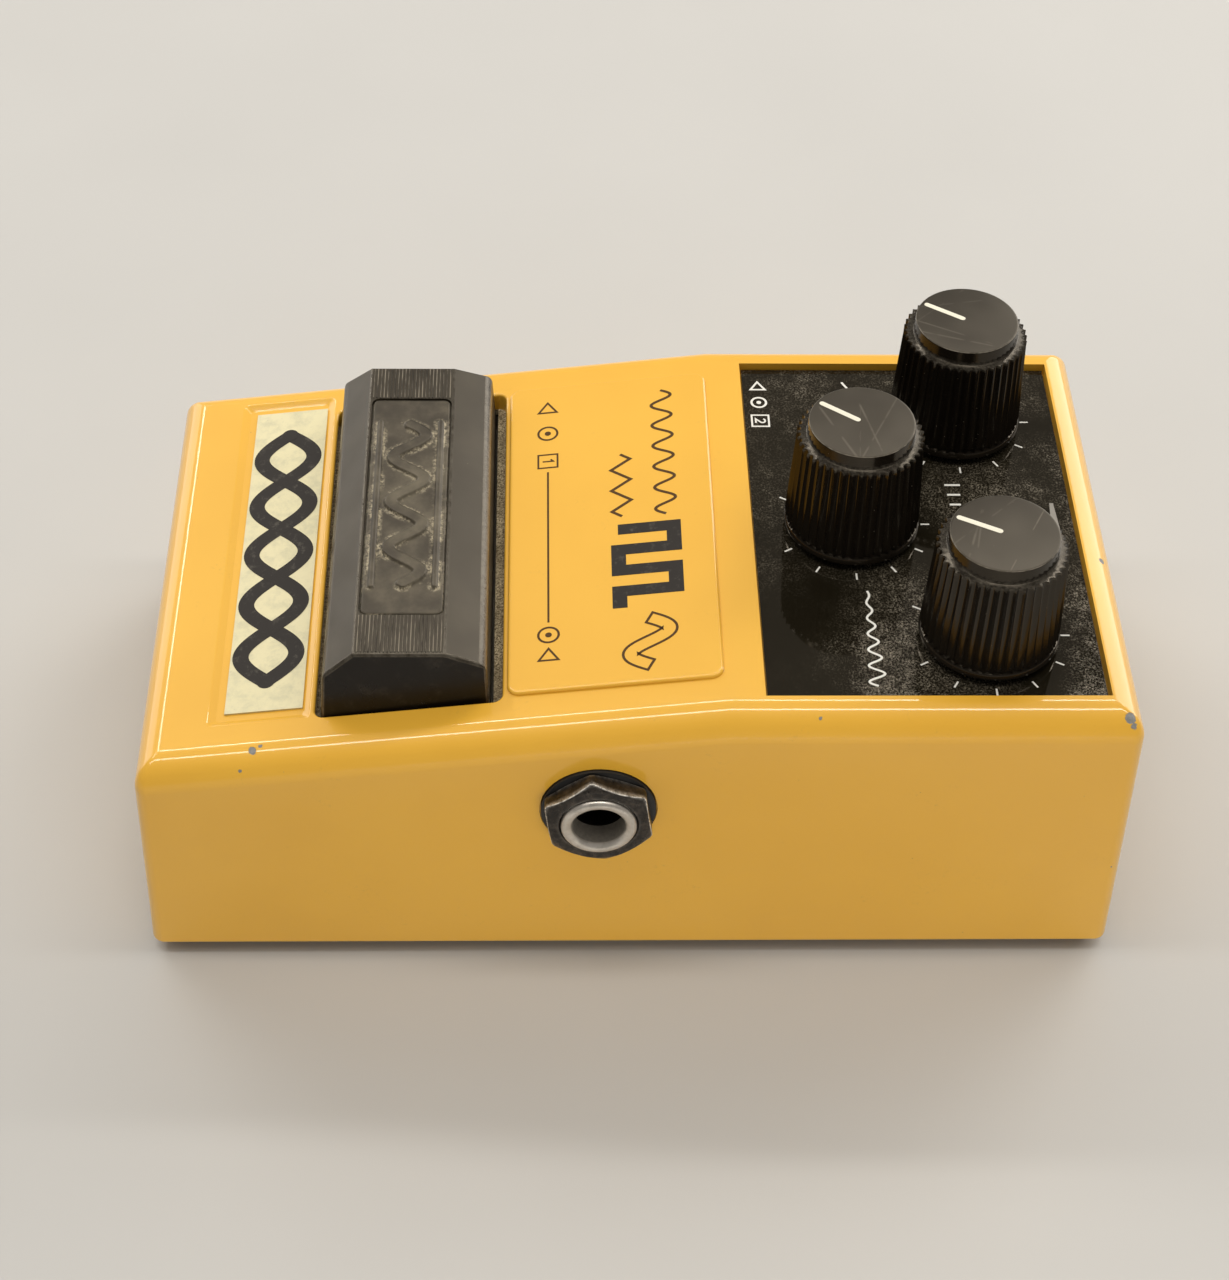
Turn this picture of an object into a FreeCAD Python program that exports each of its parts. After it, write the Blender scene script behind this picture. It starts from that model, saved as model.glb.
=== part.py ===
"""Compact guitar effects pedal, built as separate pieces in one frame.

Frame: millimetres, +Z up, origin at the bottom centre (underside of the rubber sheet).
-Y is the player's side with the footswitch button, +Y the rear with the three knobs,
+X the right side with the input jack, -X the left side with the two output jacks.
"""
import FreeCAD, Part
import math
import os

import Sketcher

Vector = FreeCAD.Vector
Rotation = FreeCAD.Rotation
Placement = FreeCAD.Placement

doc = FreeCAD.newDocument("effects_pedal")
sizes = doc.addObject("Spreadsheet::Sheet", "sizes")

# alias, value in millimetres or degrees, meaning
DRIVING_SIZES = [
    ("case_length", 126.2, "case, front to rear, at its lower edge"),
    ("case_width", 72.9, "case, left to right, at its lower edge"),
    ("case_base", 1.5, "height of the case's lower edge"),
    ("case_rear_height", 44.3, "height of the flat rear part of the top"),
    ("slope_angle", 7.33, "slope of the front part of the top"),
    ("slope_break", 10.9, "Y of the line where the slope meets the flat part"),
    ("side_draft", 0.49, "draft angle of the left and right walls"),
    ("end_draft", 1.5, "draft angle of the front and rear walls"),
    ("case_wall", 2.6, "wall thickness of the casting"),
    ("top_round", 4.0, "rounding of the top edges"),
    ("upright_round", 1.6, "rounding of the upright corner edges"),
    ("lower_round", 1.0, "rounding of the outer lower edge"),
    ("plate_width", 62.4, "control plate, left to right"),
    ("plate_length", 42.0, "control plate, front to rear"),
    ("plate_centre", 36.8, "Y of the control plate's centre"),
    ("plate_sink", 0.95, "depth of the control plate's face below the top"),
    ("plate_thick", 1.0, "thickness of the control plate"),
    ("ceiling_rear", 39.9, "underside of the top at the controls"),
    ("well_width", 58.0, "button opening, left to right"),
    ("well_length", 23.3, "button opening, front to rear"),
    ("well_centre", -28.4, "Y of the button opening's centre"),
    ("button_top", 47.0, "height of the button's flat top"),
    ("button_travel", 3.0, "travel of the footswitch button"),
    ("post_radius", 2.0, "guide posts of the button"),
    ("post_spread", 20.0, "X of each guide post"),
    ("post_line", -26.5, "Y of the guide posts and of the switch"),
    ("bracket_level", 24.0, "underside of the switch bracket"),
    ("bracket_thick", 1.2, "thickness of the switch bracket"),
    ("label_length", 56.75, "label strip, left to right"),
    ("label_depth", 9.9, "label strip along the slope"),
    ("label_centre_x", -1.4, "X of the label strip's centre"),
    ("label_centre_slope", -58.0, "place of the label strip along the slope, from the break"),
    ("label_sink", 0.45, "depth of the label's recess"),
    ("label_rim", 2.0, "from the label strip to the rim of its recess"),
    ("label_rim_rear", 1.0, "how much less that is at the rear"),
    ("label_wall_run", 0.95, "width of the recess's sloping wall"),
    ("label_thick", 0.25, "thickness of the label strip"),
    ("panel_length", 56.7, "raised panel, left to right"),
    ("panel_depth", 26.1, "raised panel along the slope"),
    ("panel_centre_x", -0.35, "X of the raised panel's centre"),
    ("panel_centre_slope", -13.8, "place of the raised panel along the slope"),
    ("panel_rise", 0.5, "height of the raised panel"),
    ("knob_side_x", 20.3, "X of the right knob, mirrored for the left one"),
    ("knob_side_y", 44.1, "Y of the two side knobs"),
    ("knob_front_y", 28.5, "Y of the middle knob"),
    ("knob_top", 61.1, "height of the knobs' caps"),
    ("knob_foot", 44.15, "height of the knobs' lower rim"),
    ("knob_base_radius", 8.8, "radius of the knobs' lower ring"),
    ("knob_shoulder_radius", 8.05, "radius at the top of the ribs"),
    ("knob_cap_radius", 6.8, "radius of the smooth cap"),
    ("shaft_radius", 3.0, "radius of the potentiometer shafts"),
    ("pot_radius", 8.2, "radius of the potentiometer bodies"),
    ("jack_height", 28.65, "height of the jack axes"),
    ("jack_front_y", -4.8, "Y of the input jack and of the first output jack"),
    ("jack_rear_y", 18.5, "Y of the second output jack"),
    ("jack_reach", 39.6, "X of the jack bush's outer end"),
    ("jack_bore_radius", 3.25, "bore of the jack bush, for a 6.35 mm plug"),
    ("jack_bush_radius", 4.75, "outside of the jack bush"),
    ("nut_flats", 12.7, "jack nut, across flats"),
    ("board_thick", 1.6, "thickness of the circuit boards"),
    ("main_board_level", 8.0, "underside of the main board"),
    ("control_board_level", 26.0, "underside of the control board"),
    ("base_thick", 1.2, "thickness of the steel base plate"),
    ("screw_x", 31.0, "X of the base screws"),
    ("screw_y", 57.6, "Y of the base screws"),
]
for row, (alias, value, meaning) in enumerate(DRIVING_SIZES, start=1):
    sizes.set("A%d" % row, meaning)
    sizes.set("B%d" % row, str(value))
    sizes.setAlias("B%d" % row, alias)
doc.recompute()

pieces = []


def sheet(expression):
    """Turn bare aliases in an expression into references to the sheet."""
    words = sorted((alias for alias, _, _ in DRIVING_SIZES), key=len, reverse=True)
    for index, word in enumerate(words):
        expression = expression.replace(word, "#%d#" % index)
    for index, word in enumerate(words):
        expression = expression.replace("#%d#" % index, "sizes." + word)
    return expression


def value(expression):
    """Present value of an expression, in millimetres or degrees."""
    result = sizes.evalExpression(sheet(str(expression)))
    return float(getattr(result, "Value", result))


def bind(thing, **expressions):
    for name, expression in expressions.items():
        thing.setExpression(name.replace("__", "."), sheet(str(expression)))


def keep(thing, label):
    """Name a finished piece; its label is its node's name."""
    thing.Label = label
    pieces.append(thing)
    return thing


def place(thing, x="0", y="0", z="0", axis=None, angle="0"):
    if axis:
        thing.Placement = Placement(Vector(0, 0, 0), Rotation(Vector(*axis), value(angle)))
        bind(thing, Placement__Rotation__Angle=angle)
    bind(thing, Placement__Base__x=x, Placement__Base__y=y, Placement__Base__z=z)
    return thing


# ---------------------------------------------------------------- PartDesign helpers

def new_body(name):
    return doc.addObject("PartDesign::Body", name)


def new_sketch(body, name, role="XY_Plane", lift="0"):
    """A sketch on one of the body's own origin planes, lifted along the plane's normal."""
    sketch = body.newObject("Sketcher::SketchObject", name)
    plane = next(item for item in body.Origin.OriginFeatures if item.Role == role)
    sketch.AttachmentSupport = (plane, [""])
    sketch.MapMode = "FlatFace"
    bind(sketch, AttachmentOffset__Base__z=lift)
    return sketch


def slope_sketch(body, name, sink="0"):
    """A sketch parallel to the sloped top, sink below it: x is X, y runs up the slope from the break."""
    sketch = new_sketch(body, name)
    sketch.AttachmentOffset = Placement(Vector(0, 0, 0), Rotation(Vector(1, 0, 0), value("slope_angle")))
    bind(sketch, AttachmentOffset__Base__y="slope_break+(%s)*sin(slope_angle)" % sink,
         AttachmentOffset__Base__z="case_rear_height-(%s)*cos(slope_angle)" % sink,
         AttachmentOffset__Rotation__Angle="slope_angle")
    return sketch


def pin_point(sketch, geometry, point, x, y):
    """Fix one point of the sketch at two expressions of the sheet."""
    for kind, expression in (("DistanceX", x), ("DistanceY", y)):
        index = sketch.addConstraint(Sketcher.Constraint(kind, -1, 1, geometry, point, value(expression)))
        bind(sketch, **{"Constraints[%d]" % index: expression})


def outline(sketch, corners):
    """A closed outline of straight edges through corners given as pairs of expressions."""
    places = [Vector(value(x), value(y), 0) for x, y in corners]
    first = sketch.GeometryCount
    count = len(places)
    for index in range(count):
        sketch.addGeometry(Part.LineSegment(places[index], places[(index + 1) % count]), False)
    for index in range(count):
        after = (index + 1) % count
        sketch.addConstraint(Sketcher.Constraint("Coincident", first + index, 2, first + after, 1))
    for index, (x, y) in enumerate(corners):
        pin_point(sketch, first + index, 1, x, y)


def rectangle(sketch, width, length, x="0", y="0"):
    """A rectangle with its centre at x, y."""
    outline(sketch, [("(%s)%s(%s)/2" % (x, a, width), "(%s)%s(%s)/2" % (y, b, length))
                     for a, b in (("-", "-"), ("+", "-"), ("+", "+"), ("-", "+"))])


def circle(sketch, radius, x="0", y="0"):
    ring = Part.Circle(Vector(value(x), value(y), 0), Vector(0, 0, 1), value(radius))
    index = sketch.addGeometry(ring, False)
    pin_point(sketch, index, 3, x, y)
    constraint = sketch.addConstraint(Sketcher.Constraint("Radius", index, value(radius)))
    bind(sketch, **{"Constraints[%d]" % constraint: radius})


def feature(body, kind, name, sketch, length=None, both=False, reverse=False, through=False):
    """A Pad or Pocket of a sketch."""
    made = body.newObject("PartDesign::" + kind, name)
    made.Profile = sketch
    if both:
        made.SideType = "Symmetric"
    made.Reversed = reverse
    if through:
        made.Type = "ThroughAll"
    else:
        bind(made, Length=length)
    return made


def turned(body, name, sketch, kind="Revolution"):
    """A full turn of a sketch about its vertical axis."""
    made = body.newObject("PartDesign::" + kind, name)
    made.Profile = sketch
    made.ReferenceAxis = (sketch, ["V_Axis"])
    made.Angle = 360
    return made


def soften(body, name, chosen, size, kind="Fillet"):
    """Fillet or chamfer the edges of the body's tip that the test chosen(edge) picks."""
    doc.recompute()
    base = body.Tip
    names = ["Edge%d" % (index + 1) for index, edge in enumerate(base.Shape.Edges) if chosen(edge)]
    if not names:
        raise RuntimeError("no edges for " + name)
    made = body.newObject("PartDesign::" + kind, name)
    made.Base = (base, names)
    bind(made, **{"Radius" if kind == "Fillet" else "Size": size})
    doc.recompute()
    return made


# ---------------------------------------------------------------- Part helpers

def block(name, width, length, height, x="0", y="0", z="0"):
    """A box centred on x and y, standing on z."""
    made = doc.addObject("Part::Box", name)
    bind(made, Length=width, Width=length, Height=height)
    return place(made, "(%s)-(%s)/2" % (x, width), "(%s)-(%s)/2" % (y, length), z)


def rod(name, radius, height, x="0", y="0", z="0", axis=None, angle="0"):
    made = doc.addObject("Part::Cylinder", name)
    bind(made, Radius=radius, Height=height)
    return place(made, x, y, z, axis, angle)


def hexagon(name, flats, height):
    made = doc.addObject("Part::Prism", name)
    made.Polygon = 6
    bind(made, Circumradius="(%s)/2/cos(30)" % flats, Height=height)
    return made


def cut(name, base, tool):
    made = doc.addObject("Part::Cut", name)
    made.Base = base
    made.Tool = tool
    return made


def union(name, parts):
    """One solid, or a group of separate ones, from several."""
    made = doc.addObject("Part::MultiFuse", name)
    made.Shapes = parts
    return made


def group(name, parts):
    """Identical or like pieces kept as separate solids in one node."""
    made = doc.addObject("Part::Compound", name)
    made.Links = parts
    return made


# ---------------------------------------------------------------- shared places

def half_width(z):
    """Outer half width of the case at a height."""
    return "(case_width/2-((%s)-case_base)*tan(side_draft))" % z


def half_length(z):
    """Outer half length of the case at a height."""
    return "(case_length/2-((%s)-case_base)*tan(end_draft))" % z


def slope_height(y, depth="0"):
    """Height at y of the sloped top, or of a surface lying depth under it."""
    return "(case_rear_height-(%s)/cos(slope_angle)-(slope_break-(%s))*tan(slope_angle))" % (depth, y)


INNER_HALF_WIDTH = "(case_width/2-case_wall-0.25)"
INNER_HALF_LENGTH = "(case_length/2-case_wall-0.3)"
BASE_TOP = "(case_base+base_thick)"
BRACKET_TOP = "(bracket_level+bracket_thick)"
MAIN_BOARD_TOP = "(main_board_level+board_thick)"
CONTROL_BOARD_TOP = "(control_board_level+board_thick)"
PLATE_FACE = "(case_rear_height-plate_sink)"
BOSS_RADIUS = "3.2"
PILOT_RADIUS = "1.25"
BUSH_FIT = "0.05"
JACKS = [("input_jack", 1, "jack_front_y"), ("output_a_jack", -1, "jack_front_y"),
         ("output_b_jack", -1, "jack_rear_y")]
KNOBS = [("rate", "-knob_side_x", "knob_side_y"), ("time", "0", "knob_front_y"),
         ("depth", "knob_side_x", "knob_side_y")]
BASE_SCREWS = [("%sscrew_x" % a, "%sscrew_y" % b) for a in ("-", "") for b in ("-", "")]
BRACKET_SCREWS = [("-24", "-46"), ("24", "-46"), ("0", "-9.5")]
DOOR_HINGE_Y = "-28.0"
DOOR_HINGE_Z = "(case_base+base_thick/2)"
DOOR_FRONT = "-57.6"
DOOR_WIDTH = "53.4"
BATTERY = {"width": "48.5", "length": "26.5", "height": "17.5", "x": "-2.3", "y": "-43.05", "z": "4.0"}
SOCKET_HEIGHT = "19.5"


# ---------------------------------------------------------------- casing

def case_block(body):
    """The drafted block of the casting with its two top faces and its rounded edges."""
    tall = "60"
    wedge = body.newObject("PartDesign::AdditiveWedge", "drafted_block")
    wedge.AttachmentSupport = (next(f for f in body.Origin.OriginFeatures if f.Role == "XZ_Plane"), [""])
    wedge.MapMode = "FlatFace"
    bind(wedge, Xmin="-case_width/2", Xmax="case_width/2", Ymin="case_base", Ymax=tall,
         Zmin="-case_length/2", Zmax="case_length/2", X2min="-" + half_width(tall),
         X2max=half_width(tall), Z2min="-" + half_length(tall), Z2max=half_length(tall))

    above = new_sketch(body, "space_above", "YZ_Plane")
    outline(above, [("-80", slope_height("-80")), ("slope_break", "case_rear_height"),
                    ("80", "case_rear_height"), ("80", "70"), ("-80", "70")])
    feature(body, "Pocket", "top_faces", above, both=True, through=True)

    def is_upright(edge):
        box = edge.BoundBox
        return box.ZLength > 20 and box.XLength < 3 and box.YLength < 3

    def is_top(edge):
        middle = edge.CenterOfMass
        on_break = abs(middle.y - value("slope_break")) < 0.01 and abs(middle.x) < 1
        return middle.z > 30 and not on_break and not is_upright(edge)

    def is_lower(edge):
        return edge.BoundBox.ZMax < value("case_base") + 0.01

    soften(body, "top_rounding", is_top, "top_round")
    soften(body, "upright_rounding", is_upright, "upright_round")
    soften(body, "lower_rounding", is_lower, "lower_round")


def case_bosses(body, name, level, spots, radius):
    """Screw bosses that hang from the ceiling down to a level, each with its pilot hole."""
    for index, (x, y) in enumerate(spots):
        foot = new_sketch(body, "%s_%d_outline" % (name, index), lift=level)
        circle(foot, radius, x, y)
        top = slope_height(y, "1.3") if value(y) < value("slope_break") else "(ceiling_rear+1)"
        feature(body, "Pad", "%s_%d" % (name, index), foot, "%s-%s" % (top, level))
    pilots = new_sketch(body, name + "_pilots", lift=level)
    for x, y in spots:
        circle(pilots, PILOT_RADIUS, x, y)
    feature(body, "Pocket", name + "_holes", pilots, "8.5", reverse=True)


def enclosure():
    body = new_body("enclosure")
    case_block(body)

    hollow = new_sketch(body, "hollow_outline", "YZ_Plane")
    step = "(slope_break+3)"
    under_flat = "(case_rear_height-case_wall)"
    outline(hollow, [("-" + INNER_HALF_LENGTH, "case_base-1"),
                     ("-" + INNER_HALF_LENGTH, slope_height("-" + INNER_HALF_LENGTH, "case_wall")),
                     ("slope_break", under_flat), (step, under_flat), (step, "ceiling_rear"),
                     (INNER_HALF_LENGTH, "ceiling_rear"), (INNER_HALF_LENGTH, "case_base-1")])
    feature(body, "Pocket", "hollow", hollow, "2*" + INNER_HALF_WIDTH, both=True)

    recess = new_sketch(body, "plate_recess_outline", lift="case_rear_height")
    rectangle(recess, "plate_width+0.6", "plate_length+0.6", "0", "plate_centre")
    feature(body, "Pocket", "plate_recess", recess, "plate_sink+plate_thick")
    pots = new_sketch(body, "pot_holes_outline", lift="case_rear_height")
    for _, x, y in KNOBS:
        circle(pots, "3.6", x, y)
    feature(body, "Pocket", "pot_holes", pots, "8")

    well = new_sketch(body, "well_outline", lift="case_rear_height")
    rectangle(well, "well_width", "well_length", "0", "well_centre")
    feature(body, "Pocket", "button_well", well, "20")
    well_x = value("well_width") / 2

    def is_well_corner(edge):
        box = edge.BoundBox
        return box.XLength + box.YLength < 0.01 and abs(abs(box.XMin) - well_x) < 0.01 and box.ZMin > 25

    def is_well_rim(edge):
        inside = abs(edge.CenterOfMass.y - value("well_centre")) < value("well_length") / 2 + 0.01
        return inside and all(abs(height_over_slope(vertex.Point)) < 0.01 for vertex in edge.Vertexes)

    soften(body, "well_corners", is_well_corner, "1.2")
    soften(body, "well_rim", is_well_rim, "0.35")

    label_recess(body)

    panel = slope_sketch(body, "panel_outline")
    rectangle(panel, "panel_length+0.9", "panel_depth+0.9", "panel_centre_x", "panel_centre_slope")
    feature(body, "Pad", "raised_panel", panel, "panel_rise")
    soften_panel(body)

    case_bosses(body, "base_boss", BASE_TOP, BASE_SCREWS, BOSS_RADIUS)
    case_bosses(body, "bracket_boss", BRACKET_TOP, BRACKET_SCREWS, "3")

    for name, side, y in JACKS:
        for part, radius, depth in (("hole", "jack_bush_radius+" + BUSH_FIT, "8"), ("spot", "7.4", "4.4")):
            mouth = new_sketch(body, "%s_%s_outline" % (name, part), "YZ_Plane", lift=str(40 * side))
            circle(mouth, radius, y, "jack_height")
            feature(body, "Pocket", "%s_%s" % (name, part), mouth, depth, reverse=side < 0)
    socket = new_sketch(body, "socket_hole_outline", "XZ_Plane", lift="-70")
    circle(socket, "5.6", "0", SOCKET_HEIGHT)
    feature(body, "Pocket", "socket_hole", socket, "12", reverse=True)
    keep(body, "enclosure")


def height_over_slope(point):
    slope = math.radians(value("slope_angle"))
    return ((point.z - value("case_rear_height")) * math.cos(slope)
            - (point.y - value("slope_break")) * math.sin(slope))


def label_recess(body):
    """Shallow recess with sloping walls round the label strip, its rim rounded but for the front."""
    rim = slope_sketch(body, "label_rim_outline")
    rectangle(rim, "label_length+label_rim*2", "label_depth+label_rim*2-label_rim_rear",
              "label_centre_x", "label_centre_slope-label_rim_rear/2")
    recess = feature(body, "Pocket", "label_recess", rim, "label_sink")
    bind(recess, TaperAngle="-atan(label_wall_run/label_sink)")
    sink = value("label_sink")
    well_front = value("well_centre-well_length/2")
    top_rounding_starts = -56
    side_rounding_starts = 33

    def is_corner(edge):
        ends = sorted(height_over_slope(vertex.Point) for vertex in edge.Vertexes)
        return abs(ends[0] + sink) < 0.01 and abs(ends[-1]) < 0.01 and edge.BoundBox.YMax < well_front

    def is_rim(edge):
        middle = edge.CenterOfMass
        on_top = all(abs(height_over_slope(vertex.Point)) < 0.01 for vertex in edge.Vertexes)
        return (on_top and top_rounding_starts < middle.y < well_front - 0.4
                and abs(middle.x) < side_rounding_starts)

    soften(body, "label_recess_corners", is_corner, "1.3")
    soften(body, "label_recess_rim", is_rim, "0.8")


def soften_panel(body):
    """Round the raised panel's corners and its upper edge."""
    rise = value("panel_rise")

    def is_corner(edge):
        ends = sorted(height_over_slope(vertex.Point) for vertex in edge.Vertexes)
        return abs(edge.Length - rise) < 0.01 and abs(ends[0]) < 0.01 and abs(ends[-1] - rise) < 0.01

    def is_rim(edge):
        return all(abs(height_over_slope(vertex.Point) - rise) < 0.01 for vertex in edge.Vertexes)

    soften(body, "panel_corners", is_corner, "1.6")
    soften(body, "panel_edge", is_rim, "0.4")


def control_plate():
    body = new_body("control_plate")
    face = new_sketch(body, "plate_outline", lift=PLATE_FACE + "-plate_thick")
    rectangle(face, "plate_width", "plate_length", "0", "plate_centre")
    for _, x, y in KNOBS:
        circle(face, "3.6", x, y)
    feature(body, "Pad", "plate", face, "plate_thick")
    keep(body, "control_plate")


def front_label():
    body = new_body("front_label")
    face = slope_sketch(body, "label_outline", sink="label_sink")
    rectangle(face, "label_length", "label_depth", "label_centre_x", "label_centre_slope")
    feature(body, "Pad", "label", face, "label_thick")
    keep(body, "front_label")


# ---------------------------------------------------------------- footswitch

def sloped_band(body, name, y_front, y_rear, upper, lower, width):
    """A plate parallel to the sloped top, between two depths under it."""
    side = new_sketch(body, name + "_outline", "YZ_Plane")
    outline(side, [(y_front, slope_height(y_front, lower)), (y_rear, slope_height(y_rear, lower)),
                   (y_rear, slope_height(y_rear, upper)), (y_front, slope_height(y_front, upper))])
    return feature(body, "Pad", name, side, width, both=True)


def footswitch_button():
    body = new_body("footswitch_button")
    front, rear = "-39.3", "-18.25"
    flange_top, flange_foot = "3.9", "5.5"
    side = new_sketch(body, "button_section", "YZ_Plane")
    outline(side, [(front, slope_height(front, flange_foot)), (rear, slope_height(rear, flange_foot)),
                   ("-18.66", "button_top-1.8"), ("-23.75", "button_top"), ("-35.0", "button_top"),
                   ("-38.9", "button_top-3.25")])
    feature(body, "Pad", "button_column", side, "57.4", both=True)
    for sign in ("", "-"):
        flare = new_sketch(body, "end_flare_outline" + ("_left" if sign else "_right"), "XZ_Plane")
        outline(flare, [(sign + "27.15", "button_top+0.5"), (sign + "28.7", "38.2"), (sign + "33", "38.2"),
                        (sign + "33", "button_top+0.5")])
        feature(body, "Pocket", "end_flare" + ("_left" if sign else "_right"), flare, both=True, through=True)

    def is_facet_edge(edge):
        box = edge.BoundBox
        return box.XLength > 50 and box.YLength < 0.01 and box.ZMin > 42

    soften(body, "facet_edges", is_facet_edge, "0.35")
    badge = new_sketch(body, "badge_recess_outline", lift="button_top")
    rectangle(badge, "41", "10.7", "-0.2", "-29.3")
    feature(body, "Pocket", "badge_recess", badge, "0.6")
    sloped_band(body, "button_flange", "-41.6", "-15.4", flange_top, flange_foot, "61.5")

    room = new_sketch(body, "button_room_outline", lift="25")
    rectangle(room, "51", "14.5", "0", "-28.75")
    feature(body, "Pocket", "button_room", room, "18.5", reverse=True)
    posts = new_sketch(body, "guide_posts_outline", lift="bracket_level-1")
    for x in ("-post_spread", "post_spread"):
        circle(posts, "post_radius", x, "post_line")
    feature(body, "Pad", "guide_posts", posts, "44-(bracket_level-1)")
    presser = new_sketch(body, "presser_outline", lift="34.3")
    circle(presser, "3", "0", "post_line")
    feature(body, "Pad", "presser", presser, "9.7")
    keep(body, "footswitch_button")


def button_badge():
    body = new_body("button_badge")
    face = new_sketch(body, "badge_outline", lift="button_top-0.6")
    rectangle(face, "40.6", "10.3", "-0.2", "-29.3")
    feature(body, "Pad", "badge", face, "0.55")
    keep(body, "button_badge")


def button_seal():
    body = new_body("button_seal")
    sloped_band(body, "seal_band", "-42.6", "-14.4", "case_wall", "case_wall+1", "62.4")
    gap = new_sketch(body, "seal_opening_outline", lift="case_rear_height")
    rectangle(gap, "58", "21.7", "0", "-28.75")
    feature(body, "Pocket", "seal_opening", gap, "20")
    keep(body, "button_seal")


def return_springs():
    """Two compression springs round the guide posts, from the bracket to the button's ceiling."""
    coils = []
    wire, coil_radius, turns = 0.35, 3.0, 8
    lower, upper = value(BRACKET_TOP), 43.5
    for sign in (-1, 1):
        pitch = (upper - lower - 2 * wire - 0.1) / turns
        helix = Part.makeHelix(pitch, pitch * turns, coil_radius)
        right, top = Vector(coil_radius + wire, 0, 0), Vector(coil_radius, 0, wire)
        left, bottom = Vector(coil_radius - wire, 0, 0), Vector(coil_radius, 0, -wire)
        section = Part.Wire([Part.Arc(right, top, left).toShape(), Part.Arc(left, bottom, right).toShape()])
        coil = Part.Wire(helix).makePipeShell([section], True, True)
        holder = doc.addObject("Part::Feature", "spring_coil_%s" % ("left" if sign < 0 else "right"))
        holder.Shape = coil
        foot = Vector(sign * value("post_spread"), value("post_line"), lower + wire + 0.05)
        holder.Placement = Placement(foot, Rotation())
        coils.append(holder)
    keep(group("return_springs", coils), "return_springs")


def switch_bracket():
    body = new_body("switch_bracket")
    face = new_sketch(body, "bracket_outline", lift="bracket_level")
    outline(face, [("-29", "-50"), ("29", "-50"), ("29", "-13.5"), ("6", "-13.5"), ("6", "-5"), ("-6", "-5"),
                   ("-6", "-13.5"), ("-29", "-13.5")])
    for x in ("-post_spread", "post_spread"):
        circle(face, "post_radius+0.08", x, "post_line")
    for x, y in BRACKET_SCREWS:
        circle(face, "1.6", x, y)
    feature(body, "Pad", "bracket_sheet", face, "bracket_thick")
    keep(body, "switch_bracket")


def screws(label, spots, head_radius, head_height, head_foot, tip):
    """Pan head screws that point upwards, as separate solids in one node."""
    made = []
    for index, (x, y) in enumerate(spots):
        head = rod("%s_head_%d" % (label, index), head_radius, head_height, x, y, head_foot)
        shank = rod("%s_shank_%d" % (label, index), PILOT_RADIUS, "%s-%s" % (tip, head_foot), x, y, head_foot)
        made.append(union("%s_%d" % (label, index), [head, shank]))
    keep(group(label, made), label)


def momentary_switch():
    shell = block("switch_shell", "12", "12", "5.6", "0", "post_line", BRACKET_TOP)
    throat = rod("switch_throat", "2.55", "10", "0", "post_line", BRACKET_TOP + "+1.1")
    keep(cut("momentary_switch", shell, throat), "momentary_switch")
    keep(rod("switch_plunger", "2.5", "4.5", "0", "post_line", "29.5"), "switch_plunger")


# ---------------------------------------------------------------- controls

def knob(name, x, y):
    """A tapered ribbed knob, hollow below, with a raised cap and a line cut in it."""
    body = new_body(name + "_knob")
    section = new_sketch(body, name + "_knob_section", "XZ_Plane")
    bore_top = "knob_top-2.2"
    outline(section, [("shaft_radius", "knob_foot+3"), ("7.0", "knob_foot+3"), ("7.0", "knob_foot"),
                      ("knob_base_radius-0.3", "knob_foot"), ("knob_base_radius", "knob_foot+0.3"),
                      ("knob_base_radius", "knob_foot+1.1"), ("knob_base_radius-0.3", "knob_foot+1.5"),
                      ("knob_shoulder_radius", "knob_top-2.4"), ("knob_shoulder_radius-0.35", "knob_top-2.0"),
                      ("knob_cap_radius+0.15", "knob_top-1.9"), ("knob_cap_radius", "knob_top-0.5"),
                      ("knob_cap_radius-0.4", "knob_top"), ("0", "knob_top"), ("0", bore_top),
                      ("shaft_radius", bore_top)])
    turned(body, name + "_knob_form", section)
    groove = new_sketch(body, name + "_groove_outline", lift="knob_foot+1.5")
    outline(groove, [("knob_shoulder_radius-0.3", "0"), ("knob_base_radius+0.4", "-0.55"),
                     ("knob_base_radius+0.4", "0.55")])
    first = feature(body, "Pocket", name + "_groove", groove, "knob_top-knob_foot-3", reverse=True)
    doc.recompute()
    ribs = body.newObject("PartDesign::PolarPattern", name + "_grooves")
    ribs.Originals = [first]
    ribs.Axis = (groove, ["N_Axis"])
    ribs.Occurrences = 44
    ribs.Angle = 360
    body.Tip = ribs
    line = new_sketch(body, name + "_line_outline", lift="knob_top")
    rectangle(line, "knob_cap_radius-0.4", "0.7", "(knob_cap_radius-0.4)/2", "0")
    feature(body, "Pocket", name + "_line", line, "0.12")
    place(body, x, y, "0", (0, 0, 1), "-121")
    keep(body, name + "_knob")


def potentiometer(name, x, y):
    """A round control with a threaded bush through the case and a turning shaft."""
    floor = "(ceiling_rear-9.5)"
    bush_top = "(%s+3.0)" % PLATE_FACE
    can = rod(name + "_pot_can", "pot_radius", "9.5", x, y, floor)
    bush = rod(name + "_pot_bush", "3.5", bush_top + "-ceiling_rear+1", x, y, "ceiling_rear-1")
    pins = [block("%s_pot_pin_%d" % (name, index), "0.9", "0.5", floor + "-%s+1" % CONTROL_BOARD_TOP,
                  "%s+(%s)" % (x, shift), y + "-6", CONTROL_BOARD_TOP)
            for index, shift in enumerate(("-4", "0", "4"))]
    bore = rod(name + "_pot_bore", "shaft_radius+" + BUSH_FIT, "30", x, y, floor + "+1.2")
    solid = union(name + "_pot_solid", [can, bush] + pins)
    keep(cut(name + "_pot", solid, bore), name + "_pot")
    foot = "(%s+1.6)" % floor
    keep(rod(name + "_pot_shaft", "shaft_radius", "knob_top-2.4-" + foot, x, y, foot), name + "_pot_shaft")


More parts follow.
